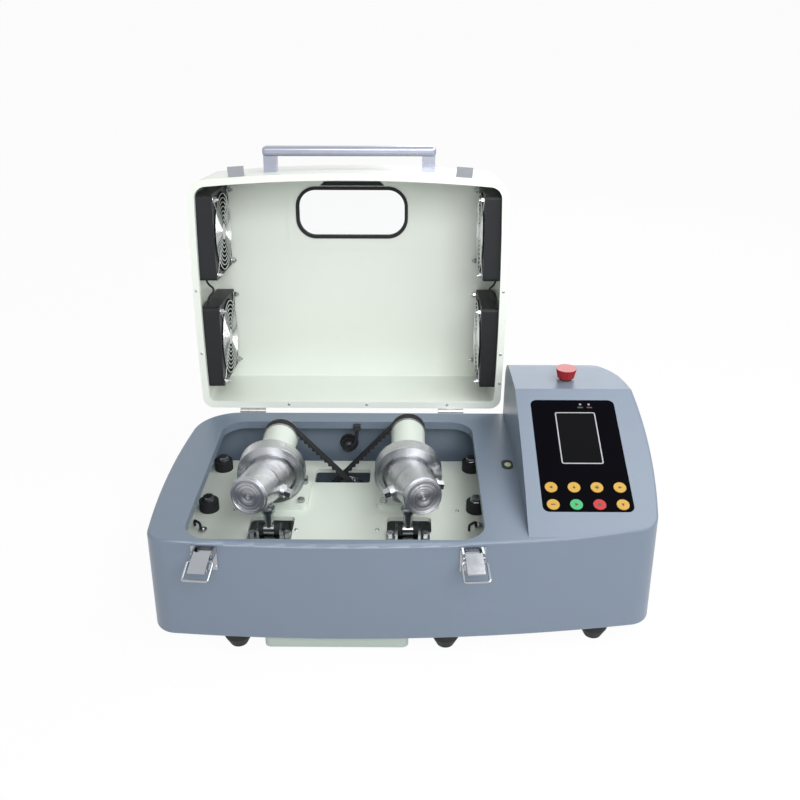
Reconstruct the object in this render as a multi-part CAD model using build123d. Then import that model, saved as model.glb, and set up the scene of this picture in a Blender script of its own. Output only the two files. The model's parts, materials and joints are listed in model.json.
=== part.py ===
"""Bench-top vibratory ball mill with two swinging jar arms under a hinged fan-cooled lid.

Every length is in millimetres. The model is laid out about the lid hinge line:
X to the right, Y to the rear, Z up, with z = 0 on the deck that the lid closes on.
The finished parts are moved so that the origin is the middle of the footprint, on the bench.
"""
from build123d import *
from math import acos, asin, atan2, cos, degrees, pi, radians, sin, sqrt, tan
import os

# Base housing
base_left = 227.0            # lid centre line to the left wall
base_right = 385.0           # lid centre line to the right wall
base_front = 340.0           # hinge line to the front wall, on the lid centre line
base_rear = 3.0              # hinge line to the rear wall
base_depth = 134.0           # deck to the bottom edge
wall_draft = 1.2             # degrees
shell_wall = 5.0
front_radius = 2200.0
left_wall_radius = 1200.0
right_wall_radius = 620.0
side_crest_y = -188.0        # where the side walls bulge most
front_corner = 26.0
rear_left_corner = 60.0
rear_right_corner = 86.0
edge_round = 4.0
bottom_round = 4.0

# Console on the right of the base
console_top = 87.0
console_slope = 22.0         # degrees
console_toe_y = -321.0       # where the sloping face meets deck level
console_rear_round = 30.0
console_gap = 3.5            # lid side to console wall

# Well opening in the deck
well_centre_x = -2.5
well_width = 351.0
well_front = 328.0
well_rear = 34.0
well_corner = 32.0
well_lip_depth = 11.0
well_lip_wall = 4.0

# Feet
foot_height = 22.0
foot_radius = 17.0
foot_tip_radius = 10.5
foot_left_x = -123.0
foot_middle_x = 129.0
foot_right_x = 312.0
foot_front_inset = 17.5
foot_rear_y = -40.0

# Base pan with its motor bay
pan_thickness = 2.0
pan_clearance = 0.3
bay_left = -90.0
bay_right = 84.0
bay_front_inset = 8.0
bay_rear = 28.0
bay_depth = 19.5
bay_corner = 8.0

# Lid
lid_half_width = 220.5
lid_front = 338.0
lid_rear = 1.0
lid_height = 133.0
lid_wall = 4.0
lid_rim_width = 9.5
lid_rim_depth = 7.0
lid_draft = 0.8              # degrees
lid_side_radius = 5000.0
lid_front_corner = 26.0
lid_rear_corner = 16.0
lid_top_round = 10.0
lid_inner_round = 2.0
lid_seat_gap = 1.0           # rim above the deck when shut
lid_open_angle = 95.5        # degrees
hinge_axis_y = 3.0
hinge_axis_z = -1.5

# Lid window
window_centre_x = -2.6
window_centre_t = 266.0      # from the hinge line towards the front
window_width = 168.0
window_depth = 77.0
window_corner = 30.0
pane_thickness = 3.0
gasket_width = 5.0
gasket_proud = 1.6
gasket_seat = 2.5           # gasket over the lid's edge and over the pane, each
frame_left = 99.5
frame_right = 92.0
frame_near_t = 210.0
frame_far_t = 318.0
frame_height = 1.5
frame_corner = 6.0
tab_near_t = 306.0
tab_far_t = 312.0
tab_half_width = 47.5

# Carrying handle on the lid front
handle_length = 240.0
handle_bar_thick = 13.0
handle_bar_width = 24.0
handle_round = 4.5
handle_height = 52.0         # up the lid front from the rim
handle_post_width = 20.0
handle_post_depth = 16.0
handle_stand_off = 18.0

# Hinges
hinge_offset_x = 145.0
hinge_width = 37.0
hinge_knuckle_radius = 3.2
hinge_pin_radius = 1.5
hinge_leaf = 1.6
hinge_leaf_height = 22.0
hinge_knuckle_gap = 0.3

# Axial fans in the lid
fan_size = 120.0
fan_depth = 25.0
fan_rear_t = 90.0            # centre of the fan nearer the hinge
fan_front_t = 248.0
fan_centre_h = 67.8          # up from the rim
fan_face_x = 212.3           # lid centre line to the outer face of a fan
fan_bore_radius = 57.0
fan_hub_radius = 20.0
fan_tip_radius = 53.0
fan_blade_count = 7
fan_blade_sweep = 34.0       # degrees of arc that a blade covers
fan_blade_thickness = 1.6
fan_root_pitch = 50.0        # degrees
fan_tip_pitch = 30.0
fan_frame_corner = 6.0
fan_strut = 3.0
fan_pin_radius = 2.5
fan_screw_pitch = 105.0
fan_names = ("fan_rotor_left_rear", "fan_rotor_left_front", "fan_rotor_right_rear", "fan_rotor_right_front")
guard_ring_radii = (52.5, 43.0, 33.5, 24.0)
guard_wire = 1.8
guard_spoke_width = 2.6
guard_sides = 16
vent_slot = 4.0
vent_pitch = 9.0
vent_radius = 50.0

# Draw latches on the front
latch_x = (-150.0, 157.0)
latch_plate_width = 30.0
latch_plate_height = 32.0
latch_plate_top = -4.0
latch_plate_thickness = 1.5
latch_ear_reach = 11.0
latch_ear_thickness = 2.0
latch_ear_height = 9.0
latch_pin_reach = 7.0         # latch plate to the lever pin
latch_pin_radius = 1.6
latch_pivot_drop = 9.0       # plate top to the lever pin
lever_width = 20.0
lever_length = 27.0
lever_thickness = 1.8
lever_rest_drop = 17.0       # degrees below level when open
lever_flange = 6.5
flange_share = 0.7
lever_ear = 3.5
lever_face = 2.5              # lever pin to the underside of the lever's face
bail_wire = 1.6
bail_pivot_reach = 8.0
bail_reach = 27.0
keeper_low = 1.9             # up the lid front from the rim
keeper_high = 15.0
keeper_width = 22.0
keeper_reach = 12.2
keeper_lip = 3.0

# Mill plate
plate_top = -70.0
plate_thickness = 6.0
plate_left = -206.0
plate_right = 195.0
plate_front = 242.0
plate_rear = 24.0
plate_corner = 12.0

window_offset = 1.5          # plate window, outward of the arm
window_half = 29.0
window_front = 212.0
window_rear = 174.0
window_round = 6.0
belt_slot_half = 11.0
belt_slot_margin = 4.0
belt_slot_round = 4.0
slot_left = -49.0
slot_right = 29.0
screw_radius = 2.5
screw_head_radius = 5.0

# Arms
arm_centre_x = -5.5
arm_half_spacing = 88.5
shaft_z = -2.0
tube_radius = 23.0
tube_bore_radius = 20.0
tube_front_y = -150.0
left_tube_rear_y = -85.0
right_tube_rear_y = -67.0
pedestal_width = 34.0
pedestal_front_y = -141.0
pedestal_rear_y = -96.0
pedestal_foot_width = 84.0
pedestal_foot_thickness = 8.0
pedestal_bolt_head = 5.0
pedestal_foot_front_y = -158.0
pedestal_foot_rear_y = -92.0
foot_bolt_half_x = 33.0
foot_bolt_inset_y = 9.0

# Shafts and bearings
shaft_radius = 8.5
bearing_width = 12.0
running_gap = 0.02           # shaft to bearing, radial
fit_gap = 0.05               # between pieces of one body
trim_gap = 0.3               # round flush trim
journal_radius = 10.0
journal_skew = 4.0           # degrees
nutation_centre_y = -168.0
journal_front = 8.6          # ahead of the nutation centre, along the skewed axis
journal_rear = 12.0
journal_collar_radius = 13.5
journal_collar_front_y = -157.0
journal_collar_rear_y = -151.0
holder_bearing_radius = 21.0
holder_bearing_half_width = 8.0

# Timing drive
belt_pitch = 8.0
belt_teeth = 56
shaft_pulley_teeth = 17
motor_pulley_teeth = 24
pitch_line_depth = 0.7       # belt root to the pitch line
belt_back_height = 1.9       # pitch line to the belt back
tooth_height = 2.0
tooth_root_width = 4.2
tooth_tip_width = 2.6
tooth_clearance = 0.35
bare_run = 12.0              # tangent point to the first tooth
belt_width = 12.0
pulley_flange = 1.2
pulley_side_gap = 0.8
pulley_flange_rise = 2.5      # above the pitch line
pulley_end_gap = 1.0          # bearing tube to flange
shaft_end_reach = 6.0

# Jar holders
skirt_bore = 27.5
skirt_radius = 30.5
skirt_rear = 24.0            # behind the nutation centre
skirt_bore_front = 13.0
cup_cone_front = 6.0         # behind the nutation centre
cup_radius = 43.5
cup_front = 13.0             # ahead of the nutation centre
recess_radius = 33.0
recess_depth = 5.0
barrel_yaw = 17.0            # degrees outward
barrel_pitch = 7.0           # degrees up, seen level
barrel_start_y = -182.0
barrel_root = -6.0
barrel_length = 62.0
barrel_root_radius = 28.5
barrel_nose_radius = 24.6
jar_radius = 20.0
jar_wall = 3.0
jar_root = 10.0
jar_cap_radius = 23.0
jar_cap_rim = 1.6
jar_rim_height = 0.8
jar_cap_thickness = 4.0
jar_plug_depth = 4.0
jar_fit_gap = 0.3
link_lug_width = 12.0

# Clamp screws on the holders
clamp_boss_radius = 8.5
clamp_boss_reach = 32.0       # from the jar's axis
clamp_screw_radius = 3.5
clamp_head_radius = 6.5
clamp_head_length = 8.0
clamp_station = 22.0         # along the barrel
clamp_clock = 103.0          # degrees from the top, each way

# Reaction links
link_y = -219.0
link_rod_radius = 6.4
link_eye_radius = 8.0
link_eye_width = 13.0
link_eye_height = 11.5       # pin above the mill plate
link_pin_radius = 3.0
link_bush_radius = 7.0
link_bush_width = 6.5
link_ear_thickness = 3.0
link_base_thickness = 3.0
bracket_screw_head = 3.5
link_base_half = 28.0
link_screw_half = 22.5
link_base_rear = 6.5
link_base_front = 11.0
link_cap_radius = 9.0
link_cap_height = 5.0
link_lug_z = -27.0
open_pivot_gap = 0.3

# Motor
motor_radius = 31.0
motor_rear_y = -98.0
motor_front_y = -282.0
motor_wall = 4.0
motor_shaft_radius = 7.0
rotor_radius = 20.0
motor_fin_count = 20
motor_fin_height = 2.5
motor_fin_width = 3.0
motor_mount_width = 60.0
motor_mount_length = 20.0
motor_mount_flange = 8.0
motor_web = 30.0
motor_mount_inset = 10.0
motor_saddle_front = 50.0

# Rubber mounts of the mill plate
mount_points = ((-184.0, -48.0), (-184.0, -156.0), (174.0, -48.0), (174.0, -156.0))
mount_radius = 13.0
mount_knob_height = 14.0
mount_neck_radius = 7.7
pillar_radius = 15.0
pillar_height = 30.0
mount_bolt_radius = 4.0
mount_washer_radius = 8.0
washer_thickness = 1.6
mount_head_radius = 7.2
mount_head_height = 5.0
mount_bolt_bite = 4.0         # bolt into its pillar

# Panel on the console slope
panel_left = 241.7
panel_width = 107.6
panel_start = 35.5           # up the slope from its toe
panel_length = 176.5
panel_thickness = 1.2
panel_corner = 8.0
display_centre = (297.0, 148.8)
display_size = (50.0, 82.5)
display_corner = 2.0
key_radius = 7.5
key_columns = (254.3, 281.8, 309.2, 336.7)
key_rows = (71.0, 45.8)
key_travel = 0.6
key_proud = 0.5
display_proud = 0.2
key_gap = 0.3
key_names = (
    "key_upper_1", "key_upper_2", "key_upper_3", "key_upper_4",
    "key_lower_1", "key_lower_2", "key_lower_3", "key_lower_4",
)

# Emergency stop
stop_x = 294.0
stop_y = -78.0
stop_collar_radius = 11.5
stop_collar_height = 1.5
stop_neck_radius = 8.0
stop_head_radius = 14.0
stop_head_base_radius = 11.0
stop_head_height = 13.0
stop_travel = 3.0
stop_flutes = 24
stop_stem_radius = 5.0
stop_flute_depth = 0.8
stop_guide_depth = 12.0
stop_guide_wall = 1.0
stop_guide_gap = 0.2          # round the guide, and under the pushed neck

# Lid sensor, inlet, switch and cable
sensor_x = 212.8
sensor_y = -155.0
sensor_width = 15.0
sensor_length = 24.0
inlet_x = 300.0
inlet_z = -64.0
inlet_width = 74.0
inlet_height = 32.0
socket_offset_x = -13.0
rocker_offset_x = 24.0
rocker_width = 13.0
rocker_height = 20.0
rocker_tilt = 8.0            # degrees
gland_x = -4.0
gland_z = -47.0
gland_radius = 13.5
gland_length = 17.0
cable_radius = 2.6
clip_x = 9.7
clip_width = 10.0
lead_radius = 1.5
lead_height = 31.0           # up from the rim

# Values worked out from the sizes above
draft = tan(radians(wall_draft))
lid_slope = tan(radians(lid_draft))
deck_height = base_depth + foot_height
shaft_pulley_radius = shaft_pulley_teeth * belt_pitch / (2 * pi)
motor_pulley_radius = motor_pulley_teeth * belt_pitch / (2 * pi)
well_right = well_centre_x + well_width / 2
slope_rise = tan(radians(console_slope))


def belt_loop_length(centres):
    """Length of an open belt round the two pitch circles at a centre distance."""
    step = motor_pulley_radius - shaft_pulley_radius
    wrap = asin(step / centres)
    straight = 2 * sqrt(centres ** 2 - step ** 2)
    return straight + shaft_pulley_radius * (pi - 2 * wrap) + motor_pulley_radius * (pi + 2 * wrap)


def belt_centre_distance():
    """Centre distance at which the belt's whole teeth fill the loop."""
    low, high = arm_half_spacing, 4 * arm_half_spacing
    for _ in range(60):
        middle = (low + high) / 2
        if belt_loop_length(middle) < belt_teeth * belt_pitch:
            low = middle
        else:
            high = middle
    return (low + high) / 2


belt_centres = belt_centre_distance()
motor_z = shaft_z - sqrt(belt_centres ** 2 - arm_half_spacing ** 2)


# Small helpers

def block(x_low, x_high, y_low, y_high, z_low, z_high):
    """Box between two corners."""
    size = (x_high - x_low, y_high - y_low, z_high - z_low)
    middle = ((x_low + x_high) / 2, (y_low + y_high) / 2, (z_low + z_high) / 2)
    return Pos(*middle) * Box(*size)


def turned(points):
    """Solid of revolution about Z of a closed outline of (radius, height) points."""
    outline = Wire.make_polygon([(radius, 0, height) for radius, height in points], close=True)
    return revolve(Face(outline), Axis.Z)


def prism(points, low, high):
    """Straight prism along Z over a closed outline of (x, y) points."""
    outline = Wire.make_polygon([(x, y, low) for x, y in points], close=True)
    return extrude(Face(outline), amount=high - low, dir=(0, 0, 1))


def slab(width, length, corner, low, high, centre=(0, 0)):
    """Plate with rounded corners, between two heights."""
    outline = Pos(centre[0], centre[1], low) * RectangleRounded(width, length, corner)
    return extrude(outline, amount=high - low, dir=(0, 0, 1))


def ring(outer, inner, low, high):
    """Plain round sleeve along Z."""
    return turned([(inner, low), (outer, low), (outer, high), (inner, high)])


def rod(radius, low, high):
    """Round bar along Z."""
    return Pos(0, 0, (low + high) / 2) * Cylinder(radius, high - low)


def along_y(shape, x, z):
    """Turn a shape made along Z so that Z points to the rear, about a line at x, z."""
    return Pos(x, 0, z) * Rot(-90, 0, 0) * shape


def along_x(shape, y, z):
    """Turn a shape made along Z so that Z points to the right, about a line at y, z."""
    return Pos(0, y, z) * Rot(0, 90, 0) * shape


def hexagon_head(radius, low, high):
    """Hexagon bolt head along Z, radius across its corners."""
    return extrude(Pos(0, 0, low) * RegularPolygon(radius, 6), amount=high - low, dir=(0, 0, 1))


# Plan outlines of the base and the lid

def wall_x(y, crest_x, radius, grow, crest_y):
    """X of a bowed side wall at a station y; a negative crest gives the left wall."""
    side = 1 if crest_x > 0 else -1
    centre = crest_x - side * radius
    return centre + side * sqrt((radius + grow) ** 2 - (y - crest_y) ** 2)


def front_y(x, front, grow=0.0):
    """Y of the bowed front wall at a station x."""
    return front_radius - front - sqrt((front_radius + grow) ** 2 - x ** 2)


def front_corner_point(front, crest_x, radius, grow, crest_y):
    """Where a side wall would meet the front wall without its corner radius."""
    y = -front
    for _ in range(20):
        x = wall_x(y, crest_x, radius, grow, crest_y)
        y = front_y(x, front, grow)
    return x, y


def bowed_outline(left, right, front, rear, radii, crest_y, corners, grow):
    """Face with a bowed front and sides and a straight rear, grown outward by grow.

    radii are the left and right wall radii; corners run front left, front right,
    rear right, rear left.
    """
    front_left = front_corner_point(front, left, radii[0], grow, crest_y)
    front_right = front_corner_point(front, right, radii[1], grow, crest_y)
    rear_line = rear + grow
    rear_left = (wall_x(rear_line, left, radii[0], grow, crest_y), rear_line)
    rear_right = (wall_x(rear_line, right, radii[1], grow, crest_y), rear_line)
    front_middle = (0.0, front_y(0.0, front, grow))
    left_middle = (wall_x(crest_y, left, radii[0], grow, crest_y), crest_y)
    right_middle = (wall_x(crest_y, right, radii[1], grow, crest_y), crest_y)
    edges = [
        ThreePointArc(front_left, front_middle, front_right),
        ThreePointArc(front_right, right_middle, rear_right),
        Line(rear_right, rear_left),
        ThreePointArc(rear_left, left_middle, front_left),
    ]
    face = Face(Wire(edges))
    for point, corner in zip((front_left, front_right, rear_right, rear_left), corners):
        vertex = face.vertices().sort_by_distance((point[0], point[1], 0))[0]
        face = face.fillet_2d(corner + grow, [vertex])
    return face


def base_outline(grow):
    """Plan of the base at deck level."""
    corners = (front_corner, front_corner, rear_right_corner, rear_left_corner)
    radii = (left_wall_radius, right_wall_radius)
    return bowed_outline(-base_left, base_right, base_front, -base_rear, radii, side_crest_y, corners, grow)


def lid_outline(grow):
    """Plan of the lid at its rim, lid shut."""
    corners = (lid_front_corner, lid_front_corner, lid_rear_corner, lid_rear_corner)
    radii = (lid_side_radius, lid_side_radius)
    crest_y = -(lid_front + lid_rear) / 2
    return bowed_outline(-lid_half_width, lid_half_width, lid_front, -lid_rear, radii, crest_y, corners, grow)


def repeated_outline(count, phase, points):
    """Outline round a circle that repeats local (radius, offset) points once a step."""
    outline = []
    for index in range(count):
        angle = phase + 2 * pi * index / count
        for radius, offset in points:
            x = radius * cos(angle) - offset * sin(angle)
            y = radius * sin(angle) + offset * cos(angle)
            outline.append((x, y))
    return outline


def upright_prism(points, front, rear):
    """Straight prism from front to rear over a closed outline of (x, z) points."""
    outline = Wire.make_polygon([(x, front, z) for x, z in points], close=True)
    return extrude(Face(outline), amount=rear - front, dir=(0, 1, 0))


def gathered(*shapes):
    """One compound of every solid in the given shapes."""
    solids = []
    for shape in shapes:
        solids.extend(shape.solids())
    return Compound(solids)


# Base housing

def console_air(inset):
    """Everything above the console's sloping face, flat top and rounded rear."""
    top = console_top - inset
    toe_y = console_toe_y + inset * (1 / cos(radians(console_slope)) - 1) / slope_rise
    break_y = toe_y + console_top / slope_rise
    rear_wall = -base_rear - console_top * draft - inset + 0.4
    round_radius = console_rear_round - inset
    arc_low = top - round_radius
    flat_end = (0, rear_wall - round_radius, top)
    arc_middle = (
        0,
        rear_wall - round_radius * (1 - sqrt(0.5)),
        top - round_radius * (1 - sqrt(0.5)),
    )
    front, rear, high = -base_front - 100, 100, top + 200
    edges = [
        Line((0, front, -inset), (0, toe_y, -inset)),
        Line((0, toe_y, -inset), (0, break_y, top)),
        Line((0, break_y, top), flat_end),
        ThreePointArc(flat_end, arc_middle, (0, rear_wall, arc_low)),
        Line((0, rear_wall, arc_low), (0, rear, arc_low)),
        Line((0, rear, arc_low), (0, rear, high)),
        Line((0, rear, high), (0, front, high)),
        Line((0, front, high), (0, front, -inset)),
    ]
    profile = Pos(well_right, 0, 0) * Face(Wire(edges))
    return extrude(profile, amount=base_right, dir=(1, 0, 0))


def deck_air(inset):
    """Everything above the deck, left of the console wall that follows the lid's side."""
    crest_y = -(lid_front + lid_rear) / 2
    crest_x = lid_half_width + console_gap + inset
    radius = lid_side_radius + console_gap + inset
    front, rear = -base_front - 60, 80
    wall_front = (wall_x(front, crest_x, radius, 0, crest_y), front)
    wall_middle = (wall_x(crest_y, crest_x, radius, 0, crest_y), crest_y)
    wall_rear = (wall_x(rear, crest_x, radius, 0, crest_y), rear)
    far = -base_left - 80
    edges = [
        ThreePointArc(wall_front, wall_middle, wall_rear),
        Line(wall_rear, (far, rear)),
        Line((far, rear), (far, front)),
        Line((far, front), wall_front),
    ]
    return extrude(Pos(0, 0, -inset) * Face(Wire(edges)), amount=300, dir=(0, 0, 1))


def housing_volume(inset):
    """Solid inside the base's outer surface, moved inward by inset."""
    foot = Pos(0, 0, -base_depth) * base_outline(base_depth * draft - inset)
    body = extrude(foot, amount=base_depth + console_top + 20, dir=(0, 0, 1), taper=wall_draft)
    return body - deck_air(inset) - console_air(inset)


def is_top_rim(edge):
    """Outer top edge, round the deck and up along the console's right side."""
    middle = edge @ 0.5
    on_deck = middle.X < well_right and abs(middle.Z) < 0.01
    on_console = middle.X > (lid_half_width + base_right) / 2 and middle.Z > -0.01
    return on_deck or on_console


def rounded_housing():
    body = housing_volume(0.0)
    body = fillet([edge for edge in body.edges() if is_top_rim(edge)], edge_round)
    return fillet([edge for edge in body.edges() if abs((edge @ 0.5).Z + base_depth) < 0.01], bottom_round)


def slope_frame():
    """Frame on the console's sloping face: X right, Y up the slope, Z out of the face."""
    lean = radians(console_slope)
    return Plane(origin=(0, console_toe_y, 0), x_dir=(1, 0, 0), z_dir=(0, -sin(lean), cos(lean)))


def on_slope(shape):
    """Put a shape made in the slope's own frame on the console."""
    return slope_frame().location * shape


def panel_slab(grow, low, high):
    """The control panel's outline, grown outward, between two heights over the slope."""
    centre = (panel_left + panel_width / 2, panel_start + panel_length / 2)
    return slab(panel_width + 2 * grow, panel_length + 2 * grow, panel_corner + grow, low, high, centre)


def well_slab(grow, low, high):
    """The well opening in plan, grown outward, between two heights."""
    centre = (well_centre_x, -(well_front + well_rear) / 2)
    width = well_width + 2 * grow
    length = well_front - well_rear + 2 * grow
    return slab(width, length, well_corner + grow, low, high, centre)


def sensor_slot(shrink, low, high):
    """Upright plug in the sensor's oval outline."""
    outline = SlotOverall(sensor_length - 2 * shrink, sensor_width - 2 * shrink, rotation=90)
    return extrude(Pos(sensor_x, sensor_y, low) * outline, amount=high - low, dir=(0, 0, 1))


def rear_wall_y(z):
    """Outer face of the base's rear wall at a height."""
    return -base_rear - z * draft


def inlet_block(shrink, front, rear):
    """The rear inlet module's outline, between two stations."""
    half_width = inlet_width / 2 - shrink
    half_height = inlet_height / 2 - shrink
    return block(
        inlet_x - half_width, inlet_x + half_width, front, rear, inlet_z - half_height, inlet_z + half_height
    )


def base_shell():
    shell = rounded_housing() - housing_volume(shell_wall)
    shell = shell + well_slab(well_lip_wall, -well_lip_depth, -shell_wall / 2)
    shell = shell - well_slab(0.0, -well_lip_depth - 5, 5)
    shell = shell - on_slope(panel_slab(trim_gap, -panel_thickness, 5))
    guide = stop_neck_radius + stop_guide_wall + stop_guide_gap
    shell = shell - Pos(stop_x, stop_y, console_top) * rod(guide, -20, 5)
    shell = shell - sensor_slot(1.5, -10, 10)
    return shell - inlet_block(3.0, -30, 10)


def bay_slab(shrink, low, high):
    """The motor bay in plan, shrunk inward, between two heights."""
    front = base_front - bay_front_inset - shrink
    width = bay_right - bay_left - 2 * shrink
    centre = ((bay_left + bay_right) / 2, -(front + bay_rear + shrink) / 2)
    return slab(width, front - bay_rear - shrink, bay_corner - shrink, low, high, centre)


def base_pan():
    sheet = Pos(0, 0, -base_depth) * base_outline(base_depth * draft - shell_wall - pan_clearance)
    pan = extrude(sheet, amount=pan_thickness, dir=(0, 0, 1))
    pan = pan + bay_slab(0.0, -base_depth - bay_depth, -base_depth + pan_thickness)
    pan = pan - bay_slab(pan_thickness, -base_depth - bay_depth + pan_thickness, 0)
    for x, y in mount_points:
        pillar = rod(pillar_radius, 0, pan_thickness + pillar_height)
        pillar = pillar - rod(mount_bolt_radius + fit_gap, pan_thickness, pan_thickness + pillar_height + 1)
        pan = pan + Pos(x, y, -base_depth) * pillar
    return pan


def rubber_feet():
    foot = turned([
        (0, -deck_height), (foot_tip_radius, -deck_height), (foot_radius, -deck_height + foot_height * 0.6),
        (foot_radius, -base_depth), (0, -base_depth),
    ])
    feet = []
    for x in (foot_left_x, foot_middle_x, foot_right_x):
        for y in (front_y(x, base_front) + foot_front_inset, foot_rear_y):
            feet.append(Pos(x, y, 0) * foot)
    return gathered(*feet)


# Mill plate and its rubber mounts

def plate_window(x_low, x_high, front, rear, corner):
    centre = ((x_low + x_high) / 2, -(front + rear) / 2)
    size = (x_high - x_low, front - rear)
    return slab(size[0], size[1], corner, plate_top - plate_thickness - 1, plate_top + 1, centre)


def belt_slot(x_low, x_high, side):
    """Slot in the plate round one belt's run."""
    front = belt_front_y(side) - belt_slot_margin
    rear = belt_front_y(side) + belt_width + belt_slot_margin
    return plate_window(x_low, x_high, -front, -rear, belt_slot_round)


def mill_plate():
    centre = ((plate_left + plate_right) / 2, -(plate_front + plate_rear) / 2)
    width, length = plate_right - plate_left, plate_front - plate_rear
    plate = slab(width, length, plate_corner, plate_top - plate_thickness, plate_top, centre)
    for side in (-1, 1):
        x = arm_x(side)
        plate = plate - plate_window(
            x + side * window_offset - window_half, x + side * window_offset + window_half,
            window_front, window_rear, window_round,
        )
        run_x = lower_run_x(side)
        plate = plate - belt_slot(run_x - belt_slot_half, run_x + belt_slot_half, side)
    plate = plate - plate_window(
        slot_left, slot_right, -belt_front_y(-1) + belt_slot_margin,
        -belt_front_y(1) - belt_width - belt_slot_margin, belt_slot_round,
    )
    for x, y in mount_points:
        hole = Pos(x, y, plate_top) * rod(mount_neck_radius + fit_gap, -plate_thickness - 1, 1)
        plate = plate - hole
    return plate


def pedestal_bolt_points():
    points = []
    for side in (-1, 1):
        for offset in (-foot_bolt_half_x, foot_bolt_half_x):
            for y in (pedestal_foot_front_y + foot_bolt_inset_y, pedestal_foot_rear_y - foot_bolt_inset_y):
                points.append((arm_x(side) + offset, y))
    return points


def bracket_screw_points():
    points = []
    for side in (-1, 1):
        for offset in (-link_screw_half, link_screw_half):
            points.append((arm_x(side) + offset, link_y))
    return points


def pillar_top():
    return -base_depth + pan_thickness + pillar_height


def rubber_mounts():
    low = pillar_top()
    under = plate_top - plate_thickness
    top = plate_top + mount_knob_height
    bore = mount_bolt_radius + fit_gap
    mount = turned([
        (bore, low), (mount_radius, low), (mount_radius, under), (mount_neck_radius, under),
        (mount_neck_radius, plate_top), (mount_radius, plate_top), (mount_radius, top), (bore, top),
    ])
    pieces = [Pos(x, y, 0) * mount for x, y in mount_points]
    for side in (-1, 1):
        for way in (-1, 1):
            near = link_eye_width / 2 + fit_gap
            bush = ring(link_bush_radius, link_pin_radius + fit_gap, near, near + link_bush_width)
            bush = bush if way > 0 else Rot(180, 0, 0) * bush
            pieces.append(Pos(arm_x(side), link_y, plate_top + link_eye_height) * along_x(bush, 0, 0))
    return gathered(*pieces)


def plate_screws():
    """Pedestal bolts, bracket screws and the mount bolts with their washers."""
    pieces = []
    for x, y in pedestal_bolt_points():
        bolt = hexagon_head(screw_head_radius, 0, pedestal_bolt_head)
        bolt = bolt + rod(screw_radius, fit_gap - pedestal_foot_thickness, 1)
        pieces.append(Pos(x, y, plate_top + pedestal_foot_thickness) * bolt)
    for x, y in bracket_screw_points():
        screw = hexagon_head(screw_head_radius, 0, bracket_screw_head)
        screw = screw + rod(screw_radius, fit_gap - link_base_thickness, 1)
        pieces.append(Pos(x, y, plate_top + link_base_thickness) * screw)
    for x, y in mount_points:
        reach = plate_top + mount_knob_height - pillar_top() + mount_bolt_bite
        washer = ring(mount_washer_radius, mount_bolt_radius + fit_gap, 0, washer_thickness)
        bolt = hexagon_head(mount_head_radius, washer_thickness, washer_thickness + mount_head_height)
        bolt = bolt + rod(mount_bolt_radius, -reach, washer_thickness + 1)
        pieces.append(Pos(x, y, plate_top + mount_knob_height) * gathered(washer, bolt))
    return gathered(*pieces)


# Motor

def motor_housing():
    """Finned motor body hung under the mill plate on two saddles."""
    tip = motor_radius + motor_fin_height
    half = motor_fin_width / 2
    root = sqrt(motor_radius ** 2 - half ** 2)
    fin = [(root, -half), (tip, -half), (tip, half), (root, half)]
    outline = [(arm_centre_x + x, motor_z + y) for x, y in repeated_outline(motor_fin_count, 0.0, fin)]
    body = upright_prism(outline, motor_front_y, motor_rear_y)
    under = plate_top - plate_thickness
    for y in (motor_front_y + motor_saddle_front, motor_rear_y - motor_mount_inset - motor_mount_length):
        half_width = motor_mount_width / 2
        flange = block(
            arm_centre_x - half_width, arm_centre_x + half_width, y, y + motor_mount_length,
            under - motor_mount_flange, under,
        )
        web = block(
            arm_centre_x - motor_web / 2, arm_centre_x + motor_web / 2, y, y + motor_mount_length,
            motor_z + motor_radius - motor_wall, under - motor_mount_flange + 1,
        )
        body = body + flange + web
    cavity = rod(motor_radius - motor_wall, motor_front_y + motor_wall, motor_rear_y - motor_wall)
    bore = rod(motor_shaft_radius + running_gap, motor_rear_y - motor_wall - 1, motor_rear_y + 1)
    return body - along_y(cavity, arm_centre_x, motor_z) - along_y(bore, arm_centre_x, motor_z)


def motor_shaft_end():
    return belt_front_y(1) + belt_width + pulley_side_gap + pulley_flange + shaft_end_reach


def motor_rotor():
    """Rotor drum on its shaft, which runs out to the rear through the housing."""
    inner = motor_front_y + motor_wall
    drum = rod(rotor_radius, inner + 14, motor_rear_y - motor_wall - 14)
    shaft = rod(motor_shaft_radius, inner + 0.5, motor_shaft_end())
    return along_y(drum + shaft, arm_centre_x, motor_z)


# Timing drive

def belt_front_y(side):
    """Front edge of the belt of one arm, behind that arm's bearing tube."""
    return tube_rear_y(side) + pulley_end_gap + pulley_flange + pulley_side_gap


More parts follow.
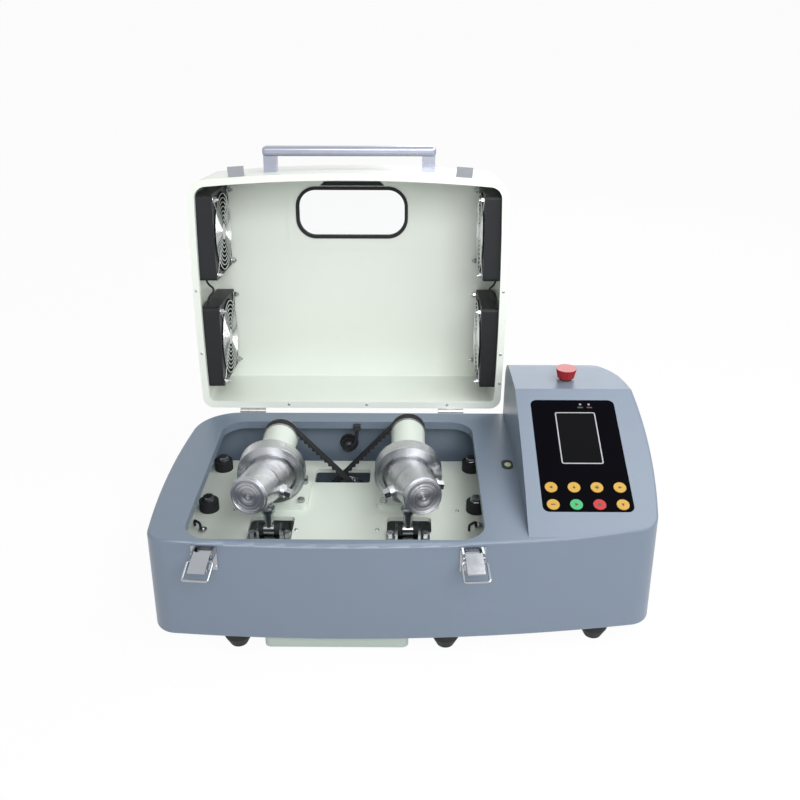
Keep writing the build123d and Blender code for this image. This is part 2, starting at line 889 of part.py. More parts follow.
class BeltPath:
    """Pitch line of one belt, anticlockwise in X and Z, from the lower side of the shaft pulley."""

    def __init__(self, side):
        self.shaft = (arm_x(side), shaft_z)
        self.motor = (arm_centre_x, motor_z)
        lean = atan2(shaft_z - motor_z, arm_x(side) - arm_centre_x)
        wrap = acos((motor_pulley_radius - shaft_pulley_radius) / belt_centres)
        self.start = lean - wrap
        self.turn = lean + wrap
        self.shaft_arc = 2 * wrap * shaft_pulley_radius
        self.straight = sqrt(belt_centres ** 2 - (motor_pulley_radius - shaft_pulley_radius) ** 2)
        self.motor_arc = (2 * pi - 2 * wrap) * motor_pulley_radius

    def on_circle(self, centre, radius, angle):
        return centre[0] + radius * cos(angle), centre[1] + radius * sin(angle)

    def at(self, length, offset):
        """Point at a length along the pitch line, moved outward by offset."""
        length = length % (belt_teeth * belt_pitch)
        if length < self.shaft_arc:
            angle = self.start + length / shaft_pulley_radius
            return self.on_circle(self.shaft, shaft_pulley_radius + offset, angle)
        length -= self.shaft_arc
        if length < self.straight:
            share = length / self.straight
            first = self.on_circle(self.shaft, shaft_pulley_radius + offset, self.turn)
            last = self.on_circle(self.motor, motor_pulley_radius + offset, self.turn)
            return tuple(a + (b - a) * share for a, b in zip(first, last))
        length -= self.straight
        if length < self.motor_arc:
            angle = self.turn + length / motor_pulley_radius
            return self.on_circle(self.motor, motor_pulley_radius + offset, angle)
        share = (length - self.motor_arc) / self.straight
        first = self.on_circle(self.motor, motor_pulley_radius + offset, self.start)
        last = self.on_circle(self.shaft, shaft_pulley_radius + offset, self.start)
        return tuple(a + (b - a) * share for a, b in zip(first, last))

    def has_tooth(self, length):
        """Whether a tooth at a length clears both pulleys however they are turned."""
        length = length % (belt_teeth * belt_pitch)
        for start in (self.shaft_arc, self.shaft_arc + self.straight + self.motor_arc):
            if start + bare_run < length < start + self.straight - bare_run:
                return True
        return False

    def first_tooth(self):
        """Length to a tooth, set so that a groove of the motor pulley points straight up."""
        motor_start = self.shaft_arc + self.straight
        return (motor_start + (pi / 2 - self.turn) * motor_pulley_radius) % belt_pitch

    def shaft_groove_angle(self):
        return self.start + self.first_tooth() / shaft_pulley_radius


def drive_belt(side):
    """Belt of one arm, teeth inward; it stands still, so it is bare where the pulleys turn."""
    path = BeltPath(side)
    tip = -pitch_line_depth - tooth_height
    inside = []
    for index in range(belt_teeth):
        middle = path.first_tooth() + index * belt_pitch
        inside.append(path.at(middle - tooth_root_width / 2, -pitch_line_depth))
        if path.has_tooth(middle):
            inside.append(path.at(middle - tooth_tip_width / 2, tip))
            inside.append(path.at(middle + tooth_tip_width / 2, tip))
        inside.append(path.at(middle + tooth_root_width / 2, -pitch_line_depth))
    outside = [path.at(index * belt_pitch / 2, belt_back_height) for index in range(2 * belt_teeth)]
    front = belt_front_y(side)
    rear = front + belt_width
    return upright_prism(outside, front, rear) - upright_prism(inside, front - 1, rear + 1)


def toothed_wheel(teeth, radius, phase, low, high):
    """Pulley teeth along Z, with grooves that clear the belt's teeth all round."""
    crown = radius - pitch_line_depth - tooth_clearance
    floor = crown - tooth_height
    root = tooth_root_width / 2 + tooth_clearance
    tip = tooth_tip_width / 2 + tooth_clearance
    shoulder = sqrt(crown ** 2 - root ** 2)
    points = [(shoulder, -root), (floor, -tip), (floor, tip), (shoulder, root)]
    return prism(repeated_outline(teeth, phase, points), low, high)


def pulley(teeth, radius, groove_angle, shaft, front, rear, middle_flange):
    """Flanged pulley about Y, made along Z and then turned."""
    wheel = toothed_wheel(teeth, radius, -groove_angle, front, rear)
    flange = radius + pulley_flange_rise
    wheel = wheel + rod(flange, front - pulley_flange, front) + rod(flange, rear, rear + pulley_flange)
    if middle_flange:
        middle = (front + rear) / 2
        wheel = wheel + rod(flange, middle - pulley_flange / 2, middle + pulley_flange / 2)
    return wheel - rod(shaft + fit_gap, front - 10, rear + 10)


def shaft_pulley(side):
    front = belt_front_y(side) - pulley_side_gap
    rear = belt_front_y(side) + belt_width + pulley_side_gap
    groove = BeltPath(side).shaft_groove_angle()
    wheel = pulley(shaft_pulley_teeth, shaft_pulley_radius, groove, shaft_radius, front, rear, False)
    return along_y(wheel, arm_x(side), shaft_z)


def motor_pulley():
    front = belt_front_y(-1) - pulley_side_gap
    rear = belt_front_y(1) + belt_width + pulley_side_gap
    wheel = pulley(motor_pulley_teeth, motor_pulley_radius, pi / 2, motor_shaft_radius, front, rear, True)
    return along_y(wheel, arm_centre_x, motor_z)


def lower_run_x(side):
    """X where the belt's outer run of one arm crosses the mill plate."""
    path = BeltPath(side)
    level = plate_top - plate_thickness / 2
    first = path.shaft_arc if side < 0 else path.shaft_arc + path.straight + path.motor_arc
    ends = [path.at(first + 0.01, 0), path.at(first + path.straight - 0.01, 0)]
    share = (level - ends[0][1]) / (ends[1][1] - ends[0][1])
    return ends[0][0] + (ends[1][0] - ends[0][0]) * share


# Arms

def arm_x(side):
    """X of the left (-1) or right (+1) shaft."""
    return arm_centre_x + side * arm_half_spacing


def tube_rear_y(side):
    return left_tube_rear_y if side < 0 else right_tube_rear_y


def pedestal(side):
    """Bearing tube on its column and foot."""
    x = arm_x(side)
    rear = tube_rear_y(side)
    foot_length = pedestal_foot_rear_y - pedestal_foot_front_y
    foot_centre = (x, (pedestal_foot_rear_y + pedestal_foot_front_y) / 2)
    foot_top = plate_top + pedestal_foot_thickness
    body = slab(pedestal_foot_width, foot_length, 8.0, plate_top, foot_top, foot_centre)
    half = pedestal_width / 2
    body = body + block(x - half, x + half, pedestal_front_y, pedestal_rear_y, foot_top - 1, shaft_z)
    body = body + along_y(rod(tube_radius, tube_front_y, rear), x, shaft_z)
    seat = bearing_width + 1
    body = body - along_y(rod(tube_bore_radius, tube_front_y - 1, tube_front_y + seat), x, shaft_z)
    body = body - along_y(rod(tube_bore_radius, rear - seat, rear + 1), x, shaft_z)
    body = body - along_y(rod(tube_bore_radius - 3, tube_front_y, rear), x, shaft_z)
    for bolt_x, bolt_y in pedestal_bolt_points():
        hole = rod(screw_radius + fit_gap, -pedestal_foot_thickness - 1, 1)
        body = body - Pos(bolt_x, bolt_y, foot_top) * hole
    return body


def shaft_bearings():
    """Two ball bearings in each bearing tube."""
    pieces = []
    for side in (-1, 1):
        for low in (tube_front_y + 1 - fit_gap, tube_rear_y(side) - 1 - bearing_width + fit_gap):
            outer, inner = tube_bore_radius - running_gap, shaft_radius + running_gap
            bearing = ring(outer, inner, low, low + bearing_width)
            pieces.append(along_y(bearing, arm_x(side), shaft_z))
    return gathered(*pieces)


def axis_plane(origin, direction):
    """Frame with Z along a direction that is near level, X level to its right, Y up."""
    return Plane(origin=origin, x_dir=(-direction[1], direction[0], 0), z_dir=direction)


def nutation_axis():
    """Direction of the skewed journal at rest, nose down."""
    lean = radians(journal_skew)
    return 0.0, -cos(lean), -sin(lean)


def cup_plane(side):
    return axis_plane((arm_x(side), nutation_centre_y, shaft_z), nutation_axis())


def arm_shaft(side):
    """Straight shaft, collar and the skewed journal that the jar holder swings on."""
    rear = belt_front_y(side) + belt_width + pulley_side_gap + pulley_flange + shaft_end_reach
    straight = rod(shaft_radius, journal_collar_front_y, rear)
    collar = rod(journal_collar_radius, journal_collar_front_y, journal_collar_rear_y)
    shaft = along_y(straight + collar, arm_x(side), shaft_z)
    journal = rod(journal_radius, -journal_rear, journal_front)
    return shaft + cup_plane(side).location * journal


# Jar holders

def barrel_plane(side):
    """Frame of the jar's axis, yawed outward and pitched up."""
    yaw, pitch = radians(barrel_yaw), radians(barrel_pitch)
    direction = (side * sin(yaw) * cos(pitch), -cos(yaw) * cos(pitch), sin(pitch))
    return axis_plane((arm_x(side), barrel_start_y, shaft_z - 1), direction)


def clamp_places():
    """Frames of a holder's two clamp screws, in the barrel's own frame."""
    return [
        Pos(0, 0, clamp_station) * Rot(0, 0, way * clamp_clock) * Rot(-90, 0, 0)
        for way in (-1, 1)
    ]


def jar_holder(side):
    """Cup over the skewed journal's bearing, with the barrel that clamps the jar."""
    bearing = holder_bearing_half_width
    cup = turned([
        (holder_bearing_radius, -skirt_bore_front), (skirt_bore, -skirt_bore_front),
        (skirt_bore, -skirt_rear),
        (skirt_radius, -skirt_rear), (skirt_radius, -skirt_bore_front), (cup_radius, -cup_cone_front),
        (cup_radius, cup_front), (recess_radius, cup_front), (recess_radius, cup_front - recess_depth),
        (holder_bearing_radius, cup_front - recess_depth),
    ])
    barrel = turned([
        (0, barrel_root), (barrel_root_radius, barrel_root), (barrel_nose_radius, barrel_length),
        (0, barrel_length),
    ])
    boss = rod(clamp_boss_radius, 12, clamp_boss_reach)
    for place in clamp_places():
        barrel = barrel + place * boss
    to_cup = cup_plane(side).location
    to_barrel = barrel_plane(side).location
    lug_top = shaft_z - barrel_nose_radius + 4
    lug = block(
        arm_x(side) - link_lug_width / 2, arm_x(side) + link_lug_width / 2,
        link_y - link_lug_width / 2, link_y + link_lug_width / 2, link_lug_z, lug_top,
    )
    body = to_barrel * barrel + lug - to_cup * rod(holder_bearing_radius, -skirt_bore_front, bearing)
    body = body + to_cup * cup
    body = body - to_cup * rod(journal_collar_radius, 0, journal_front + 1)
    body = body - to_barrel * rod(jar_radius + jar_fit_gap, jar_root - jar_fit_gap, barrel_length + 5)
    for place in clamp_places():
        body = body - to_barrel * place * rod(clamp_screw_radius + fit_gap, jar_radius, clamp_boss_reach + 1)
    ball_race = ring(
        holder_bearing_radius - fit_gap, journal_radius + running_gap, -bearing + fit_gap, bearing - fit_gap
    )
    return gathered(body, to_cup * ball_race)


def clamp_screws(side):
    pieces = []
    for place in clamp_places():
        near = jar_radius + jar_fit_gap
        screw = rod(clamp_screw_radius, near, clamp_boss_reach + 1)
        seat = clamp_boss_reach + fit_gap
        head = hexagon_head(clamp_head_radius, seat, clamp_boss_reach + clamp_head_length)
        pieces.append(barrel_plane(side).location * place * (screw + head))
    return gathered(*pieces)


def jar(side):
    """Hollow grinding jar with its plugged cap."""
    cup = rod(jar_radius, jar_root, barrel_length)
    cup = cup - rod(jar_radius - jar_wall, jar_root + jar_wall, barrel_length + 1)
    seat = barrel_length + fit_gap
    cap_top = seat + jar_cap_thickness
    cap = rod(jar_cap_radius, seat, cap_top)
    rim = ring(jar_cap_radius, jar_cap_radius - jar_cap_rim, cap_top, cap_top + jar_rim_height)
    plug = rod(jar_radius - jar_wall - fit_gap, barrel_length - jar_plug_depth, seat + 1)
    to_barrel = barrel_plane(side).location
    return gathered(to_barrel * cup, to_barrel * (cap + rim + plug))


def reaction_links():
    """Upright rods between a bracket on the plate and each holder's lug."""
    pieces = []
    pin_z = plate_top + link_eye_height
    ear_near = link_eye_width / 2 + link_bush_width + 2 * fit_gap
    for side in (-1, 1):
        x = arm_x(side)
        top = link_lug_z - open_pivot_gap
        post = rod(link_rod_radius, pin_z, top) + rod(link_cap_radius, top - link_cap_height, top)
        link = Pos(x, link_y, 0) * post
        half = link_eye_width / 2
        link = link + Pos(x, link_y, pin_z) * along_x(rod(link_eye_radius, -half, half), 0, 0)
        link = link - Pos(x, link_y, pin_z) * along_x(rod(link_pin_radius + fit_gap, -30, 30), 0, 0)
        reach = ear_near + link_ear_thickness
        pin = Pos(x, link_y, pin_z) * along_x(rod(link_pin_radius, -reach, reach), 0, 0)
        bracket = block(
            x - link_base_half, x + link_base_half, link_y - link_base_front, link_y + link_base_rear,
            plate_top, plate_top + link_base_thickness,
        )
        for way in (-1, 1):
            ear_x = sorted((x + way * ear_near, x + way * reach))
            ear = block(ear_x[0], ear_x[1], link_y - 6, link_y + 6, plate_top + 1, pin_z + 6)
            bracket = bracket + ear
        bracket = bracket - Pos(x, link_y, pin_z) * along_x(rod(link_pin_radius + fit_gap, -30, 30), 0, 0)
        for screw_x, screw_y in bracket_screw_points():
            bracket = bracket - Pos(screw_x, screw_y, plate_top) * rod(screw_radius + fit_gap, -1, 10)
        pieces.extend([link, pin, bracket])
    return gathered(*pieces)


# Lid, modelled shut and then turned open about its hinge pin

def lid_volume(inset, low, high, top_round):
    """Solid inside the lid's outer surface moved inward, between two heights over the rim."""
    sheet = Pos(0, 0, lid_seat_gap + low) * lid_outline(-inset - low * lid_slope)
    body = extrude(sheet, amount=high - low, dir=(0, 0, 1), taper=lid_draft)
    if top_round:
        top = lid_seat_gap + high
        body = fillet([edge for edge in body.edges() if abs((edge @ 0.5).Z - top) < 0.01], top_round)
    return body


def lid_slab(width, depth, corner, low, high, centre_x, centre_t):
    """Rounded plate parallel to the lid's top, between two heights over the rim."""
    return slab(width, depth, corner, lid_seat_gap + low, lid_seat_gap + high, (centre_x, -centre_t))


def window_slab(grow, low, high):
    """The window gasket's outline, grown outward, between two heights over the rim."""
    width = window_width + 2 * grow
    depth = window_depth + 2 * grow
    return lid_slab(width, depth, window_corner + grow, low, high, window_centre_x, window_centre_t)


def frame_face():
    """Height over the rim of the raised frame's face inside the lid."""
    return lid_height - lid_wall - frame_height


def lid_shell():
    lid = lid_volume(0.0, 0.0, lid_height, lid_top_round)
    lid = lid - lid_volume(lid_wall, lid_rim_depth, lid_height - lid_wall, lid_inner_round)
    lid = lid - lid_volume(lid_rim_width, -1.0, lid_rim_depth + 1, 0)
    frame = lid_slab(
        frame_left + frame_right, frame_far_t - frame_near_t, frame_corner, frame_face(),
        lid_height - lid_wall + 1, (frame_right - frame_left) / 2, (frame_far_t + frame_near_t) / 2,
    )
    lid = lid + frame
    lid = lid - window_slab(-gasket_seat, frame_face() - 5, lid_height + 5)
    row_count = 2 * int(vent_radius / vent_pitch) + 1
    cuts = []
    for fan_t in (fan_rear_t, fan_front_t):
        for row in range(row_count):
            rise = (row - (row_count - 1) / 2) * vent_pitch
            half = sqrt(vent_radius ** 2 - rise ** 2)
            low = lid_seat_gap + fan_centre_h + rise - vent_slot / 2
            for side in (-1, 1):
                ends = sorted((side * (lid_half_width - 3 * lid_wall), side * (lid_half_width + lid_wall)))
                cuts.append(block(ends[0], ends[1], -fan_t - half, -fan_t + half, low, low + vent_slot))
    return lid - cuts


def window_gasket():
    """Rubber moulding round the pane, with the small dark pull strip beside it."""
    inner, outer = frame_face(), lid_height
    gasket = window_slab(-gasket_seat - fit_gap, inner, outer)
    gasket = gasket + window_slab(0.0, inner - gasket_proud, inner)
    gasket = gasket + window_slab(0.0, outer, outer + gasket_proud)
    gasket = gasket - window_slab(-gasket_width, inner - 5, outer + 5)
    middle = (inner + outer) / 2
    half = pane_thickness / 2 + fit_gap
    gasket = gasket - window_slab(-gasket_width + gasket_seat / 2, middle - half, middle + half)
    slant = tab_far_t - tab_near_t
    strip = prism([
        (-tab_half_width, -tab_near_t), (-tab_half_width + slant, -tab_far_t),
        (tab_half_width - slant, -tab_far_t), (tab_half_width, -tab_near_t),
    ], lid_seat_gap + inner - gasket_proud, lid_seat_gap + inner)
    return gathered(gasket, Pos((frame_right - frame_left) / 2 + 2.2, 0, 0) * strip)


def lid_window():
    middle = (frame_face() + lid_height) / 2
    half = pane_thickness / 2
    return window_slab(-gasket_width + gasket_seat / 2 - fit_gap, middle - half, middle + half)


def lid_handle():
    """Straight bar on two posts across the lid's front."""
    wall_t = lid_front + handle_stand_off
    bar = Box(handle_length, handle_bar_thick, handle_bar_width)
    bar = fillet(bar.edges(), handle_round)
    level = lid_seat_gap + handle_height
    handle = Pos(0, -wall_t - handle_bar_thick / 2, level) * bar
    for side in (-1, 1):
        centre = side * (handle_length - handle_post_width) / 2
        handle = handle + block(
            centre - handle_post_width / 2 + 1, centre + handle_post_width / 2 - 1,
            -wall_t - handle_bar_thick / 2, -lid_front + 12,
            level - handle_post_depth / 2, level + handle_post_depth / 2,
        )
    return handle - lid_volume(-fit_gap, 0.0, lid_height, 0)


def hinge_knuckles(x, spans):
    barrel = []
    for low, high in spans:
        tube = ring(hinge_knuckle_radius, hinge_pin_radius + fit_gap, low, high)
        barrel.append(Pos(x, 0, 0) * along_x(tube, hinge_axis_y, hinge_axis_z))
    return barrel


def hinge_spans():
    """Knuckle spans about a hinge's middle: two on the base leaf, one on the lid leaf."""
    half, third = hinge_width / 2, hinge_width / 6
    outer = [(-half, -third - hinge_knuckle_gap), (third + hinge_knuckle_gap, half)]
    return outer, [(-third, third)]


def hinge_leaf_plate(x, spans, face_y, low, high, bridge_low, bridge_high):
    """Flat leaf with the strips that join it to its knuckles."""
    leaf = block(x - hinge_width / 2, x + hinge_width / 2, face_y, face_y + hinge_leaf, low, high)
    for near, far in spans:
        leaf = leaf + block(x + near, x + far, face_y, hinge_axis_y, bridge_low, bridge_high)
    for knuckle in hinge_knuckles(x, spans):
        leaf = leaf + knuckle
    return leaf - Pos(x, 0, 0) * along_x(rod(hinge_pin_radius + fit_gap, -50, 50), hinge_axis_y, hinge_axis_z)


def hinge_base_leaves():
    """Leaves screwed to the base's rear wall, with the hinge pins."""
    spans = hinge_spans()[0]
    pieces = []
    underside = hinge_axis_z - hinge_knuckle_radius
    low = underside - hinge_leaf_height
    for x in (-hinge_offset_x, hinge_offset_x):
        face = rear_wall_y(low) + fit_gap
        pieces.append(hinge_leaf_plate(x, spans, face, low, underside + 1.2, underside, underside + 1.2))
        pin = rod(hinge_pin_radius, -hinge_width / 2 - 0.5, hinge_width / 2 + 0.5)
        pieces.append(Pos(x, 0, 0) * along_x(pin, hinge_axis_y, hinge_axis_z))
    return gathered(*pieces)


def hinge_lid_leaves():
    """Leaves screwed to the lid's rear wall, modelled with the lid shut."""
    spans = hinge_spans()[1]
    pieces = []
    crest = hinge_axis_z + hinge_knuckle_radius
    for x in (-hinge_offset_x, hinge_offset_x):
        face = -lid_rear + fit_gap
        pieces.append(hinge_leaf_plate(
            x, spans, face, crest - 0.5, crest + hinge_leaf_height, crest - 1.2, crest,
        ))
    return gathered(*pieces)


# Fans

def fan_place(side, fan_t):
    """Frame at a fan's middle, Z towards the lid's side wall."""
    origin = (side * (fan_face_x - fan_depth / 2), -fan_t, lid_seat_gap + fan_centre_h)
    return Plane(origin=origin, x_dir=(0, 1, 0), z_dir=(side, 0, 0)).location


def fan_places():
    return [fan_place(side, fan_t) for side in (-1, 1) for fan_t in (fan_rear_t, fan_front_t)]


def fan_frame():
    half = fan_depth / 2
    frame = slab(fan_size, fan_size, fan_frame_corner, -half, half)
    frame = frame - rod(fan_bore_radius, -half - 1, half + 1)
    reach = fan_bore_radius + 1
    for angle in (45, 135):
        bar = block(-reach, reach, -fan_strut / 2, fan_strut / 2, half - fan_strut, half)
        frame = frame + Rot(0, 0, angle) * bar
    frame = frame + rod(fan_hub_radius, half - fan_strut, half)
    return frame + rod(fan_pin_radius, 0, half - 1)


def blade_section(radius, pitch):
    """Blade section at a radius, in the plane square to that radius."""
    lean = radians(pitch)
    chord = radius * radians(fan_blade_sweep) / cos(lean)
    plane = Plane(origin=(radius, 0, -1), x_dir=(0, cos(lean), sin(lean)), z_dir=(1, 0, 0))
    return plane * Rectangle(chord, fan_blade_thickness)


def fan_rotor():
    half = fan_depth / 2
    rotor = rod(fan_hub_radius, -half + 2, half - fan_strut - 0.6)
    root = blade_section(fan_hub_radius - 2, fan_root_pitch)
    tip = blade_section(fan_tip_radius, fan_tip_pitch)
    blade = loft([root, tip], ruled=True)
    for index in range(fan_blade_count):
        rotor = rotor + Rot(0, 0, 360 * index / fan_blade_count) * blade
    return rotor - rod(fan_pin_radius + fit_gap, -1, half)


def fan_guard():
    """Finger guard of concentric rings and two crossed bars on the fan's inner face."""
    low = -fan_depth / 2 - fit_gap - guard_wire
    high = low + guard_wire
    guard = None
    for radius in guard_ring_radii:
        face = RegularPolygon(radius + guard_wire / 2, guard_sides)
        face = face - RegularPolygon(radius - guard_wire / 2, guard_sides)
        loop = Pos(0, 0, low) * extrude(face, amount=guard_wire)
        guard = loop if guard is None else guard + loop
    reach = fan_screw_pitch / sqrt(2) + 2
    for angle in (45, 135):
        bar = block(-reach, reach, -guard_spoke_width / 2, guard_spoke_width / 2, low, high)
        bar = bar - rod(guard_ring_radii[-1], low - 1, high + 1)
        guard = guard + Rot(0, 0, angle) * bar
    return guard


def round_cord(points, bend, radius):
    """Cord along straight runs joined by bends, its round section drawn with eight sides."""
    path = FilletPolyline(*points, radius=bend)
    start = Plane(origin=path @ 0, z_dir=path % 0)
    return sweep(start * RegularPolygon(radius, 8), path=path)


def fan_leads():
    """Short looped lead between the two fans of each side."""
    pieces = []
    level = lid_seat_gap + lead_height
    near, far = fan_rear_t + fan_size / 2 + fit_gap, fan_front_t - fan_size / 2 - fit_gap
    middle = (near + far) / 2
    for side in (-1, 1):
        x = side * (fan_face_x - 5)
        slack = side * (fan_face_x - 16)
        points = [
            (x, -near, level), (x, -near - 8, level), (slack, -middle, level + 7),
            (x, -far + 8, level), (x, -far, level),
        ]
        pieces.append(round_cord(points, 4.0, lead_radius))
    return gathered(*pieces)


# Draw latches

def wall_place(x, front, slope):
    """Frame on a bowed front wall: X along the wall, Y inward, Z up the wall."""
    yaw = degrees(asin(x / front_radius))
    return Pos(x, front_y(x, front), 0) * Rot(0, 0, yaw) * Rot(-slope, 0, 0)


def latch_place(x):
    return wall_place(x, base_front, wall_draft)


def lever_place(x):
    """Frame at a lever's pin, the lever lying open along -Y."""
    pin_y = -fit_gap - latch_plate_thickness - latch_pin_reach
    pin_z = latch_plate_top - latch_pivot_drop
    return latch_place(x) * Pos(0, pin_y, pin_z) * Rot(lever_rest_drop, 0, 0)


def bail_place(x):
    """Frame at a bail's pivot on its lever."""
    return lever_place(x) * Pos(0, -bail_pivot_reach, 0)


def latch_plates():
    pieces = []
    front = -fit_gap - latch_plate_thickness
    pin_z = latch_plate_top - latch_pivot_drop
    pin_y = front - latch_pin_reach
    near = lever_width / 2 + 0.5
    for x in latch_x:
        plate = block(
            -latch_plate_width / 2, latch_plate_width / 2, front, -fit_gap,
            latch_plate_top - latch_plate_height, latch_plate_top,
        )
        for way in (-1, 1):
            ends = sorted((way * near, way * (near + latch_ear_thickness)))
            ear = block(
                ends[0], ends[1], front - latch_ear_reach, front + 0.5,
                pin_z - latch_ear_height / 2, pin_z + latch_ear_height / 2,
            )
            plate = plate + ear
        plate = plate - along_x(rod(latch_pin_radius + fit_gap, -30, 30), pin_y, pin_z)
        reach = near + latch_ear_thickness
        pin = along_x(rod(latch_pin_radius, -reach, reach), pin_y, pin_z)
        pieces.extend([latch_place(x) * plate, latch_place(x) * pin])
    return gathered(*pieces)


def latch_lever(x):
    """Pressed lever with two side flanges, in the lever's own frame."""
    half = lever_width / 2
    lever = block(-half, half, -lever_length, 2, lever_face, lever_face + lever_thickness)
    for way in (-1, 1):
        ends = sorted((way * half, way * (half - lever_thickness)))
        low, high = lever_face - lever_flange, lever_face + lever_thickness / 2
        lever = lever + block(*ends, -lever_length * flange_share, lever_ear, low, high)
    lever = lever - along_x(rod(latch_pin_radius + fit_gap, -30, 30), 0, 0)
    lever = lever - along_x(rod(bail_wire + fit_gap, -30, 30), -bail_pivot_reach, 0)
    return lever_place(x) * lever


def latch_bail(x):
    """Wire loop pivoted in the lever's flanges, folded along the lever."""
    half = lever_width / 2 + 0.5 + latch_ear_thickness + 0.4 + bail_wire
    stub = lever_width / 2 - lever_thickness - 0.3
    points = [
        (-stub, 0, 0), (-half, 0, 0), (-half, -bail_reach, 0),
        (half, -bail_reach, 0), (half, 0, 0), (stub, 0, 0),
    ]
    return bail_place(x) * round_cord(points, 3.0, bail_wire)


def latch_keepers():
    """Hooks on the lid's front that the bails pull on."""
    pieces = []
    for x in latch_x:
        half = keeper_width / 2
        front = -fit_gap - latch_plate_thickness
        outline = [
            (-fit_gap, keeper_low), (-keeper_reach - latch_plate_thickness, keeper_low),
            (-keeper_reach - latch_plate_thickness, keeper_low + 1.8 + keeper_lip),
            (-keeper_reach, keeper_low + 1.8 + keeper_lip), (-keeper_reach, keeper_low + 1.8),
            (front, keeper_low + 1.8), (front, keeper_high), (-fit_gap, keeper_high),
        ]
        wire = Wire.make_polygon([(-half, y, z + lid_seat_gap) for y, z in outline], close=True)
        hook = extrude(Face(wire), amount=keeper_width, dir=(1, 0, 0))
        pieces.append(wall_place(x, lid_front, lid_draft) * hook)
    return gathered(*pieces)


# Console fittings

def key_points():
    return [(x, y) for y in key_rows for x in key_columns]


def display_slab(grow, low, high):
    width, length = display_size
    return slab(width + 2 * grow, length + 2 * grow, display_corner + grow, low, high, display_centre)


def console_panel():
    panel = panel_slab(0.0, -panel_thickness, 0.0)
    panel = panel - display_slab(trim_gap, -5, 5)
    for x, y in key_points():
        panel = panel - Pos(x, y, 0) * rod(key_radius + key_gap, -5, 5)
    return on_slope(panel)


def display_window():
    return on_slope(display_slab(0.0, -panel_thickness, display_proud))


def panel_key(index):
    x, y = key_points()[index]
    return on_slope(Pos(x, y, 0) * rod(key_radius, key_travel + fit_gap - panel_thickness, key_proud))


def stop_base():
    """Collar with the stepped guide that the stop button's neck and stem slide in."""
    top = console_top + stop_collar_height
    low = console_top - stop_guide_depth
    collar = rod(stop_collar_radius, console_top, top)
    collar = collar + rod(stop_neck_radius + stop_guide_wall, low, console_top + 1)
    collar = collar - rod(stop_stem_radius + fit_gap, low - 1, top + 1)
    collar = collar - rod(stop_neck_radius + fit_gap, top - stop_travel - stop_guide_gap, top + 1)
    return Pos(stop_x, stop_y, 0) * collar


def stop_stem():
    neck = console_top + stop_collar_height + fit_gap
    head = neck + stop_travel
    stem = rod(stop_stem_radius, console_top - stop_guide_depth - 3, head + stop_head_height - 4)
    return Pos(stop_x, stop_y, 0) * (stem + rod(stop_neck_radius, neck, head))


def stop_head():
    """Fluted mushroom head that flares upward."""
    low = console_top + stop_collar_height + stop_travel + 2 * fit_gap
    high = low + stop_head_height
    faces = []
    for radius, level in ((stop_head_base_radius, low), (stop_head_radius, high)):
        half = pi * radius / stop_flutes / 2
        points = [(radius, 0), (radius - stop_flute_depth, pi * radius / stop_flutes)]
        outline = repeated_outline(stop_flutes, half / radius, points)
        faces.append(Face(Wire.make_polygon([(x, y, level) for x, y in outline], close=True)))
    head = loft(faces, ruled=True)
    head = head - rod(stop_stem_radius + fit_gap, low - 1, high - 4 + fit_gap)
    return Pos(stop_x, stop_y, 0) * head


def lid_sensor():
    """Oval sensor bezel flush in the deck beside the well, with its lens."""
    bezel = sensor_slot(0.0, 0.0, 0.5) + sensor_slot(1.5 + trim_gap, -8.0, 0.25)
    bezel = bezel - sensor_slot(4.0, -4.0, 1.0)
    return gathered(bezel, sensor_slot(4.0 + fit_gap, -4.0 + fit_gap, 0.35))


def power_inlet():
    """Flanged module in the rear wall with a socket and the switch's pocket."""
    face = rear_wall_y(inlet_z - inlet_height / 2)
    module = inlet_block(0.0, face, face + 2.5) + inlet_block(3.0 + trim_gap, face - 26, face + 0.5)
    socket_x = inlet_x + socket_offset_x
    module = module - block(socket_x - 12, socket_x + 12, face - 13, face + 5, inlet_z - 8, inlet_z + 8)
    pocket_x = inlet_x + rocker_offset_x
    half_x, half_z = rocker_width / 2, rocker_height / 2
    module = module - block(
        pocket_x - half_x, pocket_x + half_x, face - 12, face + 5, inlet_z - half_z, inlet_z + half_z
    )
    pieces = [module]
    for offset, rise in ((-7, -1), (0, 3), (7, -1)):
        pieces.append(block(
            socket_x + offset - 1, socket_x + offset + 1, face - 13 + fit_gap, face - 2,
            inlet_z + rise - 2, inlet_z + rise + 2,
        ))
    axle = rod(1.5, -half_x + fit_gap, half_x - fit_gap)
    pieces.append(Pos(pocket_x, 0, 0) * along_x(axle, rocker_pivot_y(), inlet_z))
    return gathered(*pieces)


def rocker_pivot_y():
    return rear_wall_y(inlet_z - inlet_height / 2) - 2.0


def power_switch():
    """Rocker tilted to one side in the module's pocket."""
    half = rocker_height / 2 - 0.9
    outline = [(-half, 5.5), (0, 4.5), (half, 5.5), (half, 1.0), (4.5, -5.0), (-4.5, -5.0), (-half, 1.0)]
    half_x = rocker_width / 2 - trim_gap
    wire = Wire.make_polygon([(-half_x, y, z) for z, y in outline], close=True)
    rocker = extrude(Face(wire), amount=2 * half_x, dir=(1, 0, 0))
    rocker = rocker - along_x(rod(1.5 + fit_gap, -30, 30), 0, 0)
    return Pos(inlet_x + rocker_offset_x, rocker_pivot_y(), inlet_z) * Rot(rocker_tilt, 0, 0) * rocker


